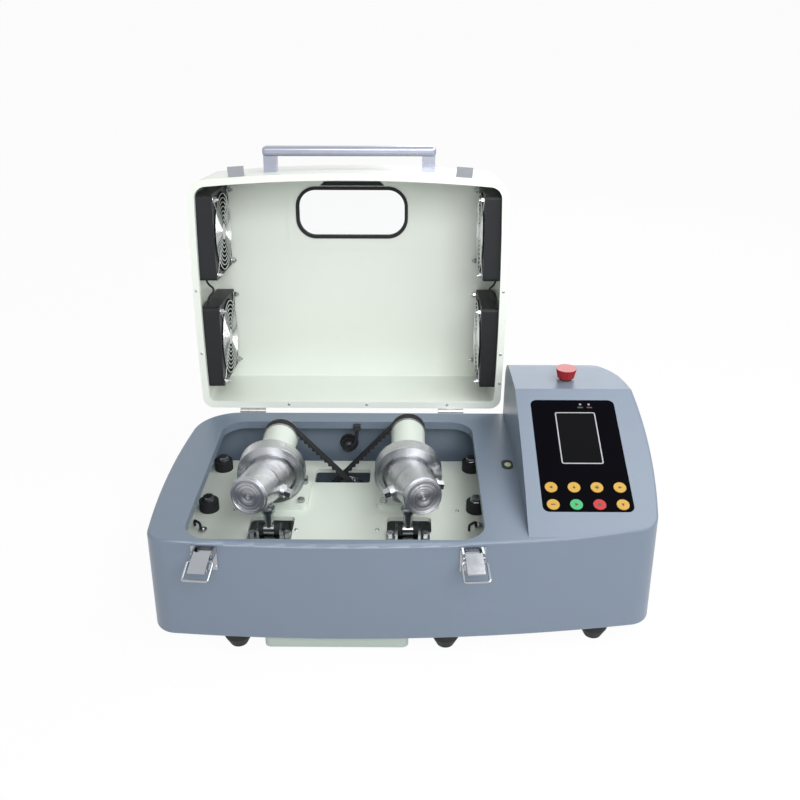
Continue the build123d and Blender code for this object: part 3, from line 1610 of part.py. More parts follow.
def lid_cable():
    """Gland on the rear wall inside the well, its cable and the clip under the deck's edge."""
    wall = rear_wall_y(gland_z) - shell_wall - 0.4
    gland = rod(gland_radius, 0, 3) + hexagon_head(gland_radius * 0.85, 3, 9)
    gland = gland + turned([(0, 9), (9, 9), (6, gland_length), (0, gland_length)])
    gland = gland - rod(cable_radius + fit_gap, 1, gland_length + 1)
    gland = Plane(origin=(gland_x, wall, gland_z), x_dir=(1, 0, 0), z_dir=(0, -1, 0)).location * gland
    clip_y = -well_rear - cable_radius - 0.6
    points = [
        (gland_x, wall - 2, gland_z), (gland_x, clip_y + 3, gland_z),
        (clip_x, clip_y, gland_z + 17), (clip_x, clip_y, -well_lip_depth + 5),
    ]
    cable = round_cord(points, 8.0, cable_radius)
    clip = block(
        clip_x - clip_width / 2, clip_x + clip_width / 2, clip_y - cable_radius - 1.5, -well_rear - fit_gap,
        -well_lip_depth, -3.0,
    )
    clip = clip - Pos(clip_x, clip_y, 0) * rod(cable_radius + fit_gap, -30, -well_lip_depth + 5 + fit_gap)
    return gathered(gland, cable, clip)


# Assembly

def lid_turn():
    """Turns a lid piece from shut to its open rest."""
    pin = Pos(0, hinge_axis_y, hinge_axis_z)
    return pin * Rot(-lid_open_angle, 0, 0) * Pos(0, -hinge_axis_y, -hinge_axis_z)


def fixed_pieces():
    pieces = {
        "base_shell": base_shell(), "base_pan": base_pan(), "rubber_feet": rubber_feet(),
        "mill_plate": mill_plate(), "rubber_mounts": rubber_mounts(), "plate_screws": plate_screws(),
        "motor_housing": motor_housing(), "motor_rotor": motor_rotor(), "motor_pulley": motor_pulley(),
        "drive_belts": gathered(drive_belt(-1), drive_belt(1)), "shaft_bearings": shaft_bearings(),
        "reaction_links": reaction_links(), "lid_cable": lid_cable(), "console_panel": console_panel(),
        "display_window": display_window(), "estop_base": stop_base(), "estop_stem": stop_stem(),
        "estop_head": stop_head(), "lid_sensor": lid_sensor(), "power_inlet": power_inlet(),
        "power_switch": power_switch(), "hinge_base_leaves": hinge_base_leaves(),
        "latch_plates": latch_plates(),
    }
    for index, name in enumerate(key_names):
        pieces[name] = panel_key(index)
    for name, side in (("left", -1), ("right", 1)):
        x = latch_x[0] if side < 0 else latch_x[1]
        pieces[name + "_pedestal"] = pedestal(side)
        pieces[name + "_shaft"] = arm_shaft(side)
        pieces[name + "_pulley"] = shaft_pulley(side)
        pieces[name + "_holder"] = jar_holder(side)
        pieces[name + "_clamp_screws"] = clamp_screws(side)
        pieces[name + "_jar"] = jar(side)
        pieces[name + "_latch_lever"] = latch_lever(x)
        pieces[name + "_latch_bail"] = latch_bail(x)
    return pieces


def lid_pieces():
    pieces = {
        "lid_shell": lid_shell(), "lid_window": lid_window(), "window_gasket": window_gasket(),
        "lid_handle": lid_handle(), "hinge_lid_leaves": hinge_lid_leaves(),
        "latch_keepers": latch_keepers(), "fan_leads": fan_leads(),
        "fan_frames": gathered(*[place * fan_frame() for place in fan_places()]),
        "fan_guards": gathered(*[place * fan_guard() for place in fan_places()]),
    }
    for name, place in zip(fan_names, fan_places()):
        pieces[name] = place * fan_rotor()
    return {name: lid_turn() * shape for name, shape in pieces.items()}


def origin_shift(pieces):
    """Move that puts the middle of the footprint at the origin and the feet on z = 0."""
    boxes = [shape.bounding_box() for shape in pieces.values()]
    x = (min(box.min.X for box in boxes) + max(box.max.X for box in boxes)) / 2
    y = (min(box.min.Y for box in boxes) + max(box.max.Y for box in boxes)) / 2
    z = min(box.min.Z for box in boxes)
    return Pos(-x, -y, -z)


def all_pieces():
    pieces = fixed_pieces()
    pieces.update(lid_pieces())
    return pieces


if __name__ == "__main__":
    os.makedirs("parts", exist_ok=True)
    assembly = all_pieces()
    shift = origin_shift(assembly)
    for name, shape in assembly.items():
        export_step(shift * shape, f"parts/{name}.step")
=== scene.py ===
"""Looks of a bench-top vibratory ball mill: finishes, wire guards, cords, screws, marks and studio."""
import json
import math

import bmesh
import bpy
import numpy as np
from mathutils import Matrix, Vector


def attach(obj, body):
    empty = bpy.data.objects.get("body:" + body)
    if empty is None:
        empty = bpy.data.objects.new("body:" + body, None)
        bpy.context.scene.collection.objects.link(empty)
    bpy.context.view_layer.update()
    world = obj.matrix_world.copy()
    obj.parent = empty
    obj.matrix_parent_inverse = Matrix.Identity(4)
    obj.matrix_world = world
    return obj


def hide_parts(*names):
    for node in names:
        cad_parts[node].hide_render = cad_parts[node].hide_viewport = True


bl_info = {
    "name": "Vibratory ball mill looks",
    "version": (1, 0, 0),
    "blender": (4, 5, 0),
    "location": "View3D > Sidebar > Mill",
    "description": "Finishes, wire guards, cords, screws, console marks and studio of a ball mill",
    "category": "Object",
}

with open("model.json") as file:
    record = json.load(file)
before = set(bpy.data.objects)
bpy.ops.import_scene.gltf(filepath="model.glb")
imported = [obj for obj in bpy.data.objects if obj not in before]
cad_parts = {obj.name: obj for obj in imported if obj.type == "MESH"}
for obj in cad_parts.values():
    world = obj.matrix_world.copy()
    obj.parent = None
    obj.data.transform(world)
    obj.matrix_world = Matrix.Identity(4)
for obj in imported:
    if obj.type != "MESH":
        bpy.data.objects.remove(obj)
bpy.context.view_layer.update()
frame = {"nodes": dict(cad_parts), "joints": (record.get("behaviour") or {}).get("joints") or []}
nodes = frame["nodes"]
joints = {joint["name"]: joint for joint in frame["joints"]}

# Layout, in millimetres about the lid hinge line at deck level: X right, Y rear, Z up
MM = 0.001
HINGE = (0.0, 3.0, -1.5)
ORIGIN = np.array(joints["lid_hinge"]["pos_m"]) - np.array(HINGE) * MM
SIDES = {"left": -1, "right": 1}

# Base: its walls at deck level, and the mill plate inside the well
FRONT_RADIUS = 2200.0                # bow of the front wall
BASE_FRONT = 340.0                   # hinge line to the front wall's middle
BASE_REAR = -3.0                     # outer face of the rear wall
WALL_DRAFT = math.tan(math.radians(1.2))
WELL_WALL = 5.4                      # rear wall's outer face to the face that carries the gland
PLATE_TOP = -70.0
HINGE_X = (-145.0, 145.0)
BASE_LEAF_FACE = -0.79               # rear face of the hinge leaves on the base
LATCH_X = (-150.0, 157.0)

# Arms: where each jar's axis starts, and how it is turned inward and tipped up
ARM_X = {"left": -94.0, "right": 83.0}
ARM_ROOT_Y = -182.0
ARM_ROOT_Z = -3.0
ARM_YAW = math.radians(17.0)
ARM_PITCH = math.radians(7.0)
SHAFT_AXIS = (0.0, 1.0, 0.0)

# Lid, as it lies shut: distances are taken from the hinge line to the front and from the rim up
LID_ANGLE = -math.radians(joints["lid_hinge"]["range_deg"][1])
LID_SEAT = 1.0                       # deck to the shut lid's rim
LID_LEAF_FACE = 0.65                 # rear face of the hinge leaves on the lid
FAN_X = 199.8                        # lid's centre line to a fan's middle
FAN_REACH = (90.0, 248.0)
FAN_RISE = 67.8
FAN_FACE = 12.55                     # fan's middle to where its guard starts
FAN_SCREW = 52.5                     # fan's centre to a screw, along each side
LEAD_X = 207.3
LEAD_SLACK_X = 196.3                 # where the lead bows furthest inward
LEAD_RISE = 31.0
LEAD_ENDS = (150.05, 187.95)
LEAD_THICKNESS = 3.0

# Cable of the lid switch: its gland in the well's rear wall, and its clip under the deck
GLAND_X = -4.0
GLAND_Z = -47.0
CLIP_X = 9.7
CLIP_Y = -37.2
CABLE_THICKNESS = 5.2

# Console, with X across and Y up its slope from the toe
CONSOLE_SLOPE = math.radians(22.0)
CONSOLE_TOE = -321.0
DISPLAY_CENTRE = (297.0, 148.8)
DISPLAY_SIZE = (50.0, 82.5)
DISPLAY_MARGIN = 0.8
LAMP_COLUMNS = (305.5, 316.5)
LAMP_ROW = 204.5
BAR_ROW = 199.2
BAR_COLUMNS = {"run": 305.0, "alarm": 317.0}
KEY_COLUMNS = (254.3, 281.8, 309.2, 336.7)
KEY_ROWS = (71.0, 45.8)
KEY_TOP = 0.5
SENSOR_LENS = (213.6, -155.0, 0.35)
SENSOR_LENS_SIZE = (4.4, 5.6, 0.5)

# New pieces
SUNK = 0.05                          # how far prints and screws start inside what carries them
SHARP_ANGLE = math.radians(32.0)     # edges sharper than this stay crisp

# Studio: each softbox's setting, size, place and aim, in metres, and the camera's place and turn
SOFTBOXES = {
    "above_console": ("key", (0.9, 0.9), (0.6, -0.12, 1.05), (0.2, -0.05, 0.24)),
    "front": ("fill", (1.2, 0.8), (0.35, -1.6, 1.3), (-0.05, 0.1, 0.25)),
    "rear": ("back", (1.2, 0.9), (0.5, 1.9, 1.0), (0.0, 0.1, 0.25)),
}
FLOOR_REACH = 60.0
CAMERA_EYE = (81.58, -1195.35, 597.89)
CAMERA_DOWN = math.radians(25.86)
CAMERA_ASIDE = math.radians(-0.51)
CAMERA_SENSOR = 36.0


def deck(points):
    """Row-frame metres of points in the layout's millimetres."""
    return np.asarray(points, float) * MM + ORIGIN


def lid(points):
    """Row-frame metres of points on the shut lid, Z up from its rim, turned open about the hinge."""
    p = np.asarray(points, float) + (0.0, 0.0, LID_SEAT) - np.array(HINGE)
    c, s = math.cos(LID_ANGLE), math.sin(LID_ANGLE)
    turned_open = np.stack([p[..., 0], p[..., 1] * c - p[..., 2] * s, p[..., 1] * s + p[..., 2] * c], -1)
    return deck(turned_open + np.array(HINGE))


def slope(points):
    """Row-frame metres of points on the console's sloping face: X across, Y up the slope, Z out of it."""
    p = np.asarray(points, float)
    c, s = math.cos(CONSOLE_SLOPE), math.sin(CONSOLE_SLOPE)
    y = CONSOLE_TOE + p[..., 1] * c - p[..., 2] * s
    return deck(np.stack([p[..., 0], y, p[..., 1] * s + p[..., 2] * c], -1))


# Surfaces. A shape is (points, faces): an array of points and a list of faces' point numbers

def woven(grid, wrap_rows=False, wrap_columns=False):
    """Quads between neighbouring points of a (rows, columns, 3) grid, closed on themselves where asked."""
    rows, columns = grid.shape[:2]
    number = np.arange(rows * columns).reshape(rows, columns)
    if wrap_rows:
        number = np.vstack([number, number[:1]])
    if wrap_columns:
        number = np.hstack([number, number[:, :1]])
    corners = [number[:-1, :-1], number[:-1, 1:], number[1:, 1:], number[1:, :-1]]
    return grid.reshape(-1, 3), np.stack(corners, -1).reshape(-1, 4).tolist()


def joined(*shapes):
    """One shape of several, their points counted on."""
    starts = np.cumsum([0] + [len(points) for points, _ in shapes[:-1]])
    faces = [[int(start) + i for i in face] for start, (_, some) in zip(starts, shapes) for face in some]
    return np.concatenate([points for points, _ in shapes]), faces


def moved(shape, offset=(0, 0, 0), turn=None):
    """A shape turned by a 3x3 matrix and then moved."""
    points, faces = shape
    points = points if turn is None else points @ np.asarray(turn).T
    return points + np.asarray(offset, float), faces


def placed(shape, place):
    """A shape with its points sent through deck, lid or slope."""
    return place(shape[0]), shape[1]


def lathed(profile, sides=32):
    """(radius, height) pairs carried round Z: x is radius times cos a, y is radius times sin a."""
    profile = np.asarray(profile, float)
    angle = np.arange(sides) * 2 * np.pi / sides
    x = profile[:, :1] * np.cos(angle)
    y = profile[:, :1] * np.sin(angle)
    return woven(np.stack([x, y, np.broadcast_to(profile[:, 1:], x.shape)], -1), wrap_columns=True)


def ring_wire(radius, wire, height, sides=40, section=8):
    """A torus about Z: a circle of the wire's radius carried round a circle of the given radius."""
    around = np.arange(sides)[:, None] * 2 * np.pi / sides
    about = np.arange(section)[None, :] * 2 * np.pi / section
    reach = radius + wire * np.cos(about)
    z = np.broadcast_to(height + wire * np.sin(about), (sides, section))
    return woven(np.stack([reach * np.cos(around), reach * np.sin(around), z], -1), True, True)


def wire_along(path, wire, across, section=10):
    """A round wire along a path that lies in the plane square to the vector across, its ends closed."""
    path = np.asarray(path, float)
    run = np.gradient(path, axis=0)
    run = run / np.linalg.norm(run, axis=1, keepdims=True)
    across = np.asarray(across, float) / np.linalg.norm(across)
    side = np.cross(run, across)
    about = np.arange(section) * 2 * np.pi / section
    circle = np.cos(about)[None, :, None] * side[:, None] + np.sin(about)[None, :, None] * across
    points, faces = woven(path[:, None] + wire * circle, wrap_columns=True)
    last = len(points) - section
    return points, faces + [list(range(section)), list(range(last, last + section))]


def bent(corners, radius, steps=6):
    """A polyline whose inner corners are rounded by quadratic curves from one side to the other."""
    corners = np.asarray(corners, float)
    before, here, after = corners[:-2], corners[1:-1], corners[2:]
    into = (before - here) / np.linalg.norm(before - here, axis=1, keepdims=True)
    out = (after - here) / np.linalg.norm(after - here, axis=1, keepdims=True)
    t = np.linspace(0, 1, steps)[None, :, None]
    start, end = (here + into * radius)[:, None], (here + out * radius)[:, None]
    curve = (1 - t) ** 2 * start + 2 * t * (1 - t) * here[:, None] + t ** 2 * end
    return np.vstack([corners[:1], curve.reshape(-1, 3), corners[-1:]])


def outline_prism(outline, low, high):
    """A straight prism over an outline of (x, y) points, between two heights."""
    outline = np.asarray(outline, float)
    levels = np.array([low, high], float)
    count = len(outline)
    grid = np.concatenate([
        np.broadcast_to(outline, (2, count, 2)), np.broadcast_to(levels[:, None, None], (2, count, 1)),
    ], -1)
    points, faces = woven(grid, wrap_columns=True)
    return points, faces + [list(range(count)), list(range(count, 2 * count))]


def polygon(radius, count, phase=0.0):
    """A regular outline: points at equal angles on a circle."""
    angle = phase + np.arange(count) * 2 * np.pi / count
    return np.stack([radius * np.cos(angle), radius * np.sin(angle)], -1)


def rounded_rectangle(width, height, corner, steps=6):
    """An outline with quarter circles about its four corner centres."""
    angle = np.linspace(0, np.pi / 2, steps)
    quarter = np.stack([np.cos(angle), np.sin(angle)], -1) * corner
    parts = []
    for turn, (sx, sy) in enumerate(((1, 1), (-1, 1), (-1, -1), (1, -1))):
        c, s = math.cos(turn * math.pi / 2), math.sin(turn * math.pi / 2)
        spun = quarter @ np.array([[c, s], [-s, c]])
        parts.append(spun + (sx * (width / 2 - corner), sy * (height / 2 - corner)))
    return np.vstack(parts)


def frame_band(width, height, corner, line, low, high):
    """A flat band inside a rounded rectangle, between two heights: its four edges woven into one ring."""
    outer = rounded_rectangle(width, height, corner)
    inner = rounded_rectangle(width - 2 * line, height - 2 * line, max(corner - line, 0.2))
    rings = [(outer, low), (outer, high), (inner, high), (inner, low)]
    grid = np.stack([np.column_stack([edge, np.full(len(edge), level)]) for edge, level in rings])
    return woven(grid, wrap_rows=True, wrap_columns=True)


def aligned(z_axis, x_hint=(1, 0, 0)):
    """Rotation whose third column is the given axis and whose first lies near the hint."""
    z = np.asarray(z_axis, float) / np.linalg.norm(z_axis)
    x = np.asarray(x_hint, float) - z * np.dot(x_hint, z)
    x = x / np.linalg.norm(x)
    return np.stack([x, np.cross(z, x), z], -1)


def pan_screw(radius, height, sides=20):
    """A screw head on z = 0: a short side, a crown along the arc of an ellipse, and a dished recess."""
    arc = 1.2
    angles = np.linspace(0, arc, 5)[1:-1]
    crown = [(radius * math.cos(a), height * math.sin(a) / math.sin(arc)) for a in angles]
    recess = [(radius * 0.34, height * 0.98), (radius * 0.28, height * 0.45), (0, height * 0.4)]
    return lathed([(0, -SUNK), (radius, -SUNK), (radius, height * 0.15)] + crown + recess, sides)


def in_scene(name, data):
    """A new object for a mesh, curve, lamp or camera, linked to the scene."""
    thing = bpy.data.objects.new(name, data)
    bpy.context.scene.collection.objects.link(thing)
    return thing


def made(name, shape, material, body):
    """Puts a shape in the scene as a finished piece: seams merged, faces outward, riding on a CAD body."""
    points, faces = shape
    mesh = bpy.data.meshes.new(name)
    mesh.from_pydata(np.asarray(points, float).tolist(), [], faces)
    work = bmesh.new()
    work.from_mesh(mesh)
    bmesh.ops.remove_doubles(work, verts=work.verts, dist=1e-6)
    bmesh.ops.recalc_face_normals(work, faces=work.faces)
    work.to_mesh(mesh)
    work.free()
    mesh.shade_smooth()
    mesh.set_sharp_from_angle(angle=SHARP_ANGLE)
    mesh.materials.append(material)
    piece = in_scene(name, mesh)
    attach(piece, body)
    return piece


# Shader maths

class Value:
    """A shader socket that Python's operators work on: an expression adds its Math nodes."""

    def __init__(self, finish, socket):
        self.finish = finish
        self.socket = socket
        self.vector = socket.type in ("VECTOR", "RGBA")

    def math(self, operation, *inputs):
        return self.finish.node("ShaderNodeMath", {"operation": operation}, dict(enumerate(inputs)))

    def arrow(self, operation, *inputs, output=0):
        sockets = dict(enumerate(inputs))
        return self.finish.node("ShaderNodeVectorMath", {"operation": operation}, sockets, output)

    def __add__(self, other):
        return self.arrow("ADD", self, other) if self.vector else self.math("ADD", self, other)

    def __sub__(self, other):
        return self.arrow("SUBTRACT", self, other) if self.vector else self.math("SUBTRACT", self, other)

    def __rsub__(self, other):
        return self.math("SUBTRACT", other, self)

    def __mul__(self, other):
        if not self.vector:
            return self.math("MULTIPLY", self, other)
        if isinstance(other, tuple):
            return self.arrow("MULTIPLY", self, other)
        return self.finish.node("ShaderNodeVectorMath", {"operation": "SCALE"}, {0: self, "Scale": other})

    def __gt__(self, other):
        return self.math("GREATER_THAN", self, other)

    __radd__ = __add__
    __rmul__ = __mul__

    def dot(self, other):
        return self.arrow("DOT_PRODUCT", self, other, output="Value")

    def cross(self, other):
        return self.arrow("CROSS_PRODUCT", self, other)

    def length(self):
        return self.arrow("LENGTH", self, output="Value")

    def unit(self):
        return self.arrow("NORMALIZE", self)

    def between(self, low, high):
        return self.math("MAXIMUM", self.math("MINIMUM", self, high), low)


class Finish:
    """A material, or a world, in the making, with one method that adds any node."""

    def __init__(self, name, kind="materials"):
        self.material = getattr(bpy.data, kind).new(name)
        self.material.use_nodes = True
        self.tree = self.material.node_tree
        self.tree.nodes.clear()

    def node(self, kind, settings=None, sockets=None, output=0):
        """Adds a node: its settings first, then its sockets' values or links."""
        made_node = self.tree.nodes.new(kind)
        for key, value in (settings or {}).items():
            setattr(made_node, key, value)
        for key, value in (sockets or {}).items():
            if isinstance(value, Value):
                self.tree.links.new(value.socket, made_node.inputs[key])
            else:
                made_node.inputs[key].default_value = value
        return Value(self, made_node.outputs[output]) if made_node.outputs else None

    def place(self):
        """The shaded point on Object coordinates, which are the row frame's metres."""
        return self.node("ShaderNodeTexCoord", output="Object")

    def noise(self, scale, detail=2.0, roughness=0.5, vector=None):
        """A cloudy value about 0.5, its scale in clouds per metre."""
        where = self.place() if vector is None else vector
        return self.node("ShaderNodeTexNoise", {}, {
            "Vector": where, "Scale": scale, "Detail": detail, "Roughness": roughness,
        })

    def blend(self, share, first, second):
        """Colour between two, by a share."""
        return self.node("ShaderNodeMix", {"data_type": "RGBA"}, {0: share, 6: first, 7: second}, output=2)

    def watched(self, *kinds):
        """1 on the named kinds of ray, else 0."""
        total = self.node("ShaderNodeLightPath", output=f"Is {kinds[0]} Ray")
        for kind in kinds[1:]:
            total = total + self.node("ShaderNodeLightPath", output=f"Is {kind} Ray")
        return total.between(0.0, 1.0)

    def bump(self, height, distance, strength):
        """A normal that a height tips, where a height of 1 stands out by the distance in metres."""
        return self.node("ShaderNodeBump", {}, {
            "Height": height, "Distance": distance, "Strength": strength,
        })

    def surface(self, **sockets):
        """Ends the material in one Principled shader; underscores stand for spaces."""
        shader = self.node("ShaderNodeBsdfPrincipled", {}, {
            key.replace("_", " "): value for key, value in sockets.items()
        })
        self.node("ShaderNodeOutputMaterial", {}, {"Surface": shader})
        return self.material


def rgba(colour, shade=1.0):
    """A colour with its alpha, lightened or darkened."""
    return (*(min(1.0, c * shade) for c in tuple(colour)[:3]), 1.0)


def paint(name, colour, roughness, peel=0.00004, coat=0.12):
    """Baked enamel: fine orange peel, a faint cloudiness of colour and handling in the gloss."""
    f = Finish(name)
    cloud = f.noise(9.0, 3.0)
    grain = f.noise(1400.0, 2.0, 0.6)
    lumps = f.noise(420.0, 1.0)
    colour_field = f.blend(cloud * 0.7 + grain * 0.3, rgba(colour, 0.955), rgba(colour, 1.045))
    gloss = roughness + (f.noise(38.0, 4.0, 0.6) - 0.5) * 0.12
    return f.surface(
        Base_Color=colour_field, Roughness=gloss.between(0.08, 0.9), Coat_Weight=coat, Coat_Roughness=0.18,
        Normal=f.bump(lumps * 0.7 + grain * 0.3, peel, 0.6),
    )


def rubber(name, colour, roughness=0.62, shine=0.15):
    """Moulded rubber: dull, with a fine pitted skin and pale bloom in patches."""
    f = Finish(name)
    pits = f.noise(2600.0, 3.0, 0.7)
    bloom = f.noise(60.0, 4.0, 0.6)
    tint = f.blend(bloom.between(0.35, 0.75), rgba(colour), rgba(colour, 1.9))
    gloss = roughness + (bloom - 0.5) * 0.25
    return f.surface(
        Base_Color=tint, Roughness=gloss.between(0.2, 1.0), Specular_IOR_Level=shine,
        Normal=f.bump(pits, 0.00006, 0.7),
    )


def moulded(name, colour, roughness=0.38, coat=0.0, texture=0.00003, shine=0.5):
    """Injection-moulded plastic: spark-eroded grain and slight flow marks in the gloss."""
    f = Finish(name)
    grain = f.noise(3200.0, 2.0, 0.6)
    flow = f.noise(24.0, 3.0, 0.5)
    tint = f.blend(flow, rgba(colour, 0.9), rgba(colour, 1.12))
    gloss = roughness + (flow - 0.5) * 0.12
    return f.surface(
        Base_Color=tint, Roughness=gloss.between(0.05, 0.9), Coat_Weight=coat, Coat_Roughness=0.08,
        Specular_IOR_Level=shine, Normal=f.bump(grain, texture, 0.6),
    )


def plated(name, colour, roughness=0.15):
    """Bright plating over pressed steel: clear reflections, softened in smears and fine hairlines."""
    f = Finish(name)
    smear = f.noise(55.0, 4.0, 0.6)
    hair = f.noise(1.0, 2.0, 0.6, f.place() * (300.0, 2600.0, 300.0))
    gloss = roughness + (smear - 0.45) * 0.2 + (hair - 0.5) * 0.12
    return f.surface(
        Base_Color=f.blend(smear, rgba(colour, 0.92), rgba(colour, 1.05)), Metallic=1.0,
        Roughness=gloss.between(0.04, 0.6), Normal=f.bump(f.noise(260.0, 2.0), 0.00003, 0.5),
    )


def brushed(name, colour, grain_axis, roughness=0.3):
    """Satin metal: hairlines drawn out along one axis, in colour, gloss and bump."""
    f = Finish(name)
    stretch = [2400.0, 2400.0, 2400.0]
    stretch[grain_axis] = 30.0
    lines = f.noise(1.0, 3.0, 0.65, f.place() * tuple(stretch))
    cloud = f.noise(22.0, 3.0)
    tint = f.blend(lines * 0.7 + cloud * 0.3, rgba(colour, 0.86), rgba(colour, 1.1))
    gloss = roughness + (lines - 0.5) * 0.25 + (cloud - 0.5) * 0.1
    return f.surface(
        Base_Color=tint, Metallic=1.0, Roughness=gloss.between(0.08, 0.8),
        Normal=f.bump(lines, 0.00003, 0.6),
    )


def lathe_marks(f, centre, axis, tilt=2.6):
    """(ring height, tilted normal, station) of tool marks that vary by radius and station on an axis."""
    away = f.place() - tuple(centre)
    station = away.dot(tuple(axis))
    spoke = away - f.node("ShaderNodeCombineXYZ", {}, {0: axis[0], 1: axis[1], 2: axis[2]}) * station
    radius = spoke.length()
    where = f.node("ShaderNodeCombineXYZ", {}, {0: radius, 1: station, 2: 0.0})
    fine = f.noise(4200.0, 2.0, 0.6, where)
    coarse = f.noise(700.0, 2.0, 0.5, where)
    normal = f.node("ShaderNodeTexCoord", output="Normal")
    along = spoke.unit().cross(tuple(axis)).cross(normal)
    tilted = (normal + along * ((fine - 0.5) * tilt)).unit()
    outward = f.node("ShaderNodeVectorTransform", {
        "vector_type": "NORMAL", "convert_from": "OBJECT", "convert_to": "WORLD",
    }, {0: tilted})
    return fine * 0.6 + coarse * 0.4, outward, station


def turned_metal(name, colour, centre, axis, roughness=0.24, second=None):
    """Lathe-turned metal: rings of tool marks about its axis, and behind its start about a second axis."""
    f = Finish(name)
    marks, normal, station = lathe_marks(f, centre, axis)
    if second:
        other_marks, other_normal, _ = lathe_marks(f, *second)
        ahead = station > 0.0
        marks = other_marks + (marks - other_marks) * ahead
        normal = other_normal + (normal - other_normal) * ahead
    smear = f.noise(45.0, 4.0, 0.6)
    tint = f.blend(marks * 0.75 + smear * 0.25, rgba(colour, 0.8), rgba(colour, 1.12))
    gloss = roughness + (marks - 0.5) * 0.3 + (smear - 0.5) * 0.12
    return f.surface(Base_Color=tint, Metallic=1.0, Roughness=gloss.between(0.06, 0.8), Normal=normal)


def window_glass(name):
    """Clear pane with faint wiping marks in its gloss."""
    f = Finish(name)
    wipe = f.noise(30.0, 4.0, 0.6)
    return f.surface(
        Base_Color=(0.96, 0.98, 0.97, 1.0), Transmission_Weight=1.0, IOR=1.49,
        Roughness=(wipe - 0.5).between(0.0, 0.5) * 0.06,
    )


def dress(material, *names):
    """Gives CAD nodes their finish."""
    for name in names:
        mesh = nodes[name].data
        mesh.materials.clear()
        mesh.materials.append(material)


def nurbs_cord(name, points, thickness, material):
    """A smooth cord: a NURBS line through the space its control points mark out, with a round section."""
    curve = bpy.data.curves.new(name, "CURVE")
    curve.dimensions = "3D"
    curve.resolution_u = 12
    curve.bevel_depth = thickness / 2
    curve.bevel_resolution = 4
    curve.use_fill_caps = True
    spline = curve.splines.new("NURBS")
    spline.points.add(len(points) - 1)
    for point, where in zip(spline.points, points):
        point.co = (*where, 1.0)
    spline.order_u = 3
    spline.use_endpoint_u = True
    curve.materials.append(material)
    return in_scene(name, curve)


def settings(context):
    """The mill's settings in a scene."""
    return context.scene.mill


def colour_property(label, description, default):
    """A colour that the user can set."""
    return bpy.props.FloatVectorProperty(
        name=label, description=description, default=default, size=3, min=0.0, max=1.0, subtype="COLOR",
    )


def length_property(label, description, millimetres):
    """A length that the user can set, in the scene's metres."""
    return bpy.props.FloatProperty(
        name=label, description=description, default=millimetres * MM, min=0.0,
        subtype="DISTANCE", unit="LENGTH",
    )


def level_property(label, description, default, low=0.0, **others):
    """A plain number that the user can set, from a lowest value up."""
    return bpy.props.FloatProperty(name=label, description=description, default=default, min=low, **others)


class MillFinishes(bpy.types.PropertyGroup):
    """Colours of the mill's paints, plastics and metals."""
    housing: colour_property("Housing", "Blue-grey enamel of the base", (0.165, 0.21, 0.275))
    cream: colour_property("Cream", "Pale enamel of the lid", (0.84, 0.89, 0.82))
    plate: colour_property("Plate", "Pale enamel of the mill plate and the arms", (0.72, 0.78, 0.71))
    # Pan colour: the plate's cream darkened, a painted shade for the bay that sits in shadow under the
    # base
    pan: colour_property("Pan", "Pale enamel of the base pan and its bay", (0.42, 0.49, 0.45))
    motor: colour_property("Motor", "Dark enamel of the motor", (0.06, 0.065, 0.07))
    rubber: colour_property("Rubber", "Feet, mounts, belts, gasket and hooks", (0.018, 0.019, 0.021))
    plastic: colour_property("Black plastic", "Fans and rear fittings", (0.022, 0.023, 0.026))
    cord: colour_property("Cords", "Jackets of the cords, with gland and clip", (0.02, 0.02, 0.022))
    collar: colour_property("Stop collar", "Grey collar of the emergency stop", (0.2, 0.2, 0.21))
    stop: colour_property("Stop button", "Mushroom head of the emergency stop", (0.36, 0.004, 0.009))
    sensor: colour_property("Lid sensor", "Dark body of the lid sensor", (0.012, 0.015, 0.008))
    lens: colour_property("Sensor lens", "Pale green lens of the lid sensor", (0.42, 0.5, 0.3))
    film: colour_property("Panel film", "Black film of the control panel", (0.0015, 0.0015, 0.003))
    display: colour_property("Display", "Dark glass of the display", (0.002, 0.002, 0.003))
    printed: colour_property("Print", "Pale outline printed round the display", (0.36, 0.37, 0.39))
    lamp: colour_property("Lamps", "Lenses of the indicator lamps, unlit", (0.24, 0.25, 0.27))
    run: colour_property("Run bar", "Dim green bar under the first lamp", (0.018, 0.04, 0.018))
    alarm: colour_property("Alarm bar", "Dim red bar under the second lamp", (0.05, 0.009, 0.008))
    yellow: colour_property("Yellow keys", "Upper keys and the lower row's ends", (0.5, 0.29, 0.035))
    green: colour_property("Green key", "Start key", (0.04, 0.36, 0.13))
    red: colour_property("Red key", "Stop key", (0.42, 0.012, 0.015))
    ink: colour_property("Key signs", "Dark signs printed on the keys", (0.05, 0.03, 0.01))
    alloy: colour_property("Alloy", "Turned jar holders", (0.62, 0.63, 0.65))
    steel: colour_property("Steel", "Turned jars with their caps", (0.78, 0.78, 0.82))
    shafts: colour_property("Shafts", "Turned steel of shafts, pulleys and rotor", (0.45, 0.45, 0.46))
    fasteners: colour_property("Fasteners", "Plate and clamp screws, and bearings", (0.42, 0.43, 0.44))
    links: colour_property("Links", "Polished steel of the reaction links", (0.36, 0.38, 0.38))
    hinges: colour_property("Hinges", "Satin steel of the lid's hinges", (0.6, 0.6, 0.6))
    chrome: colour_property("Chrome", "Bright plating of the latches", (0.4, 0.42, 0.45))
    wire: colour_property("Guard wire", "Plated wire of the fan guards", (0.72, 0.73, 0.74))
    guard_zinc: colour_property("Guard screws", "Zinc on the fan guards' screws", (0.55, 0.56, 0.57))
    zinc: colour_property("Small screws", "Zinc on the small screws", (0.5, 0.51, 0.52))
    satin: colour_property("Handle", "Satin anodised handle", (0.38, 0.4, 0.48))


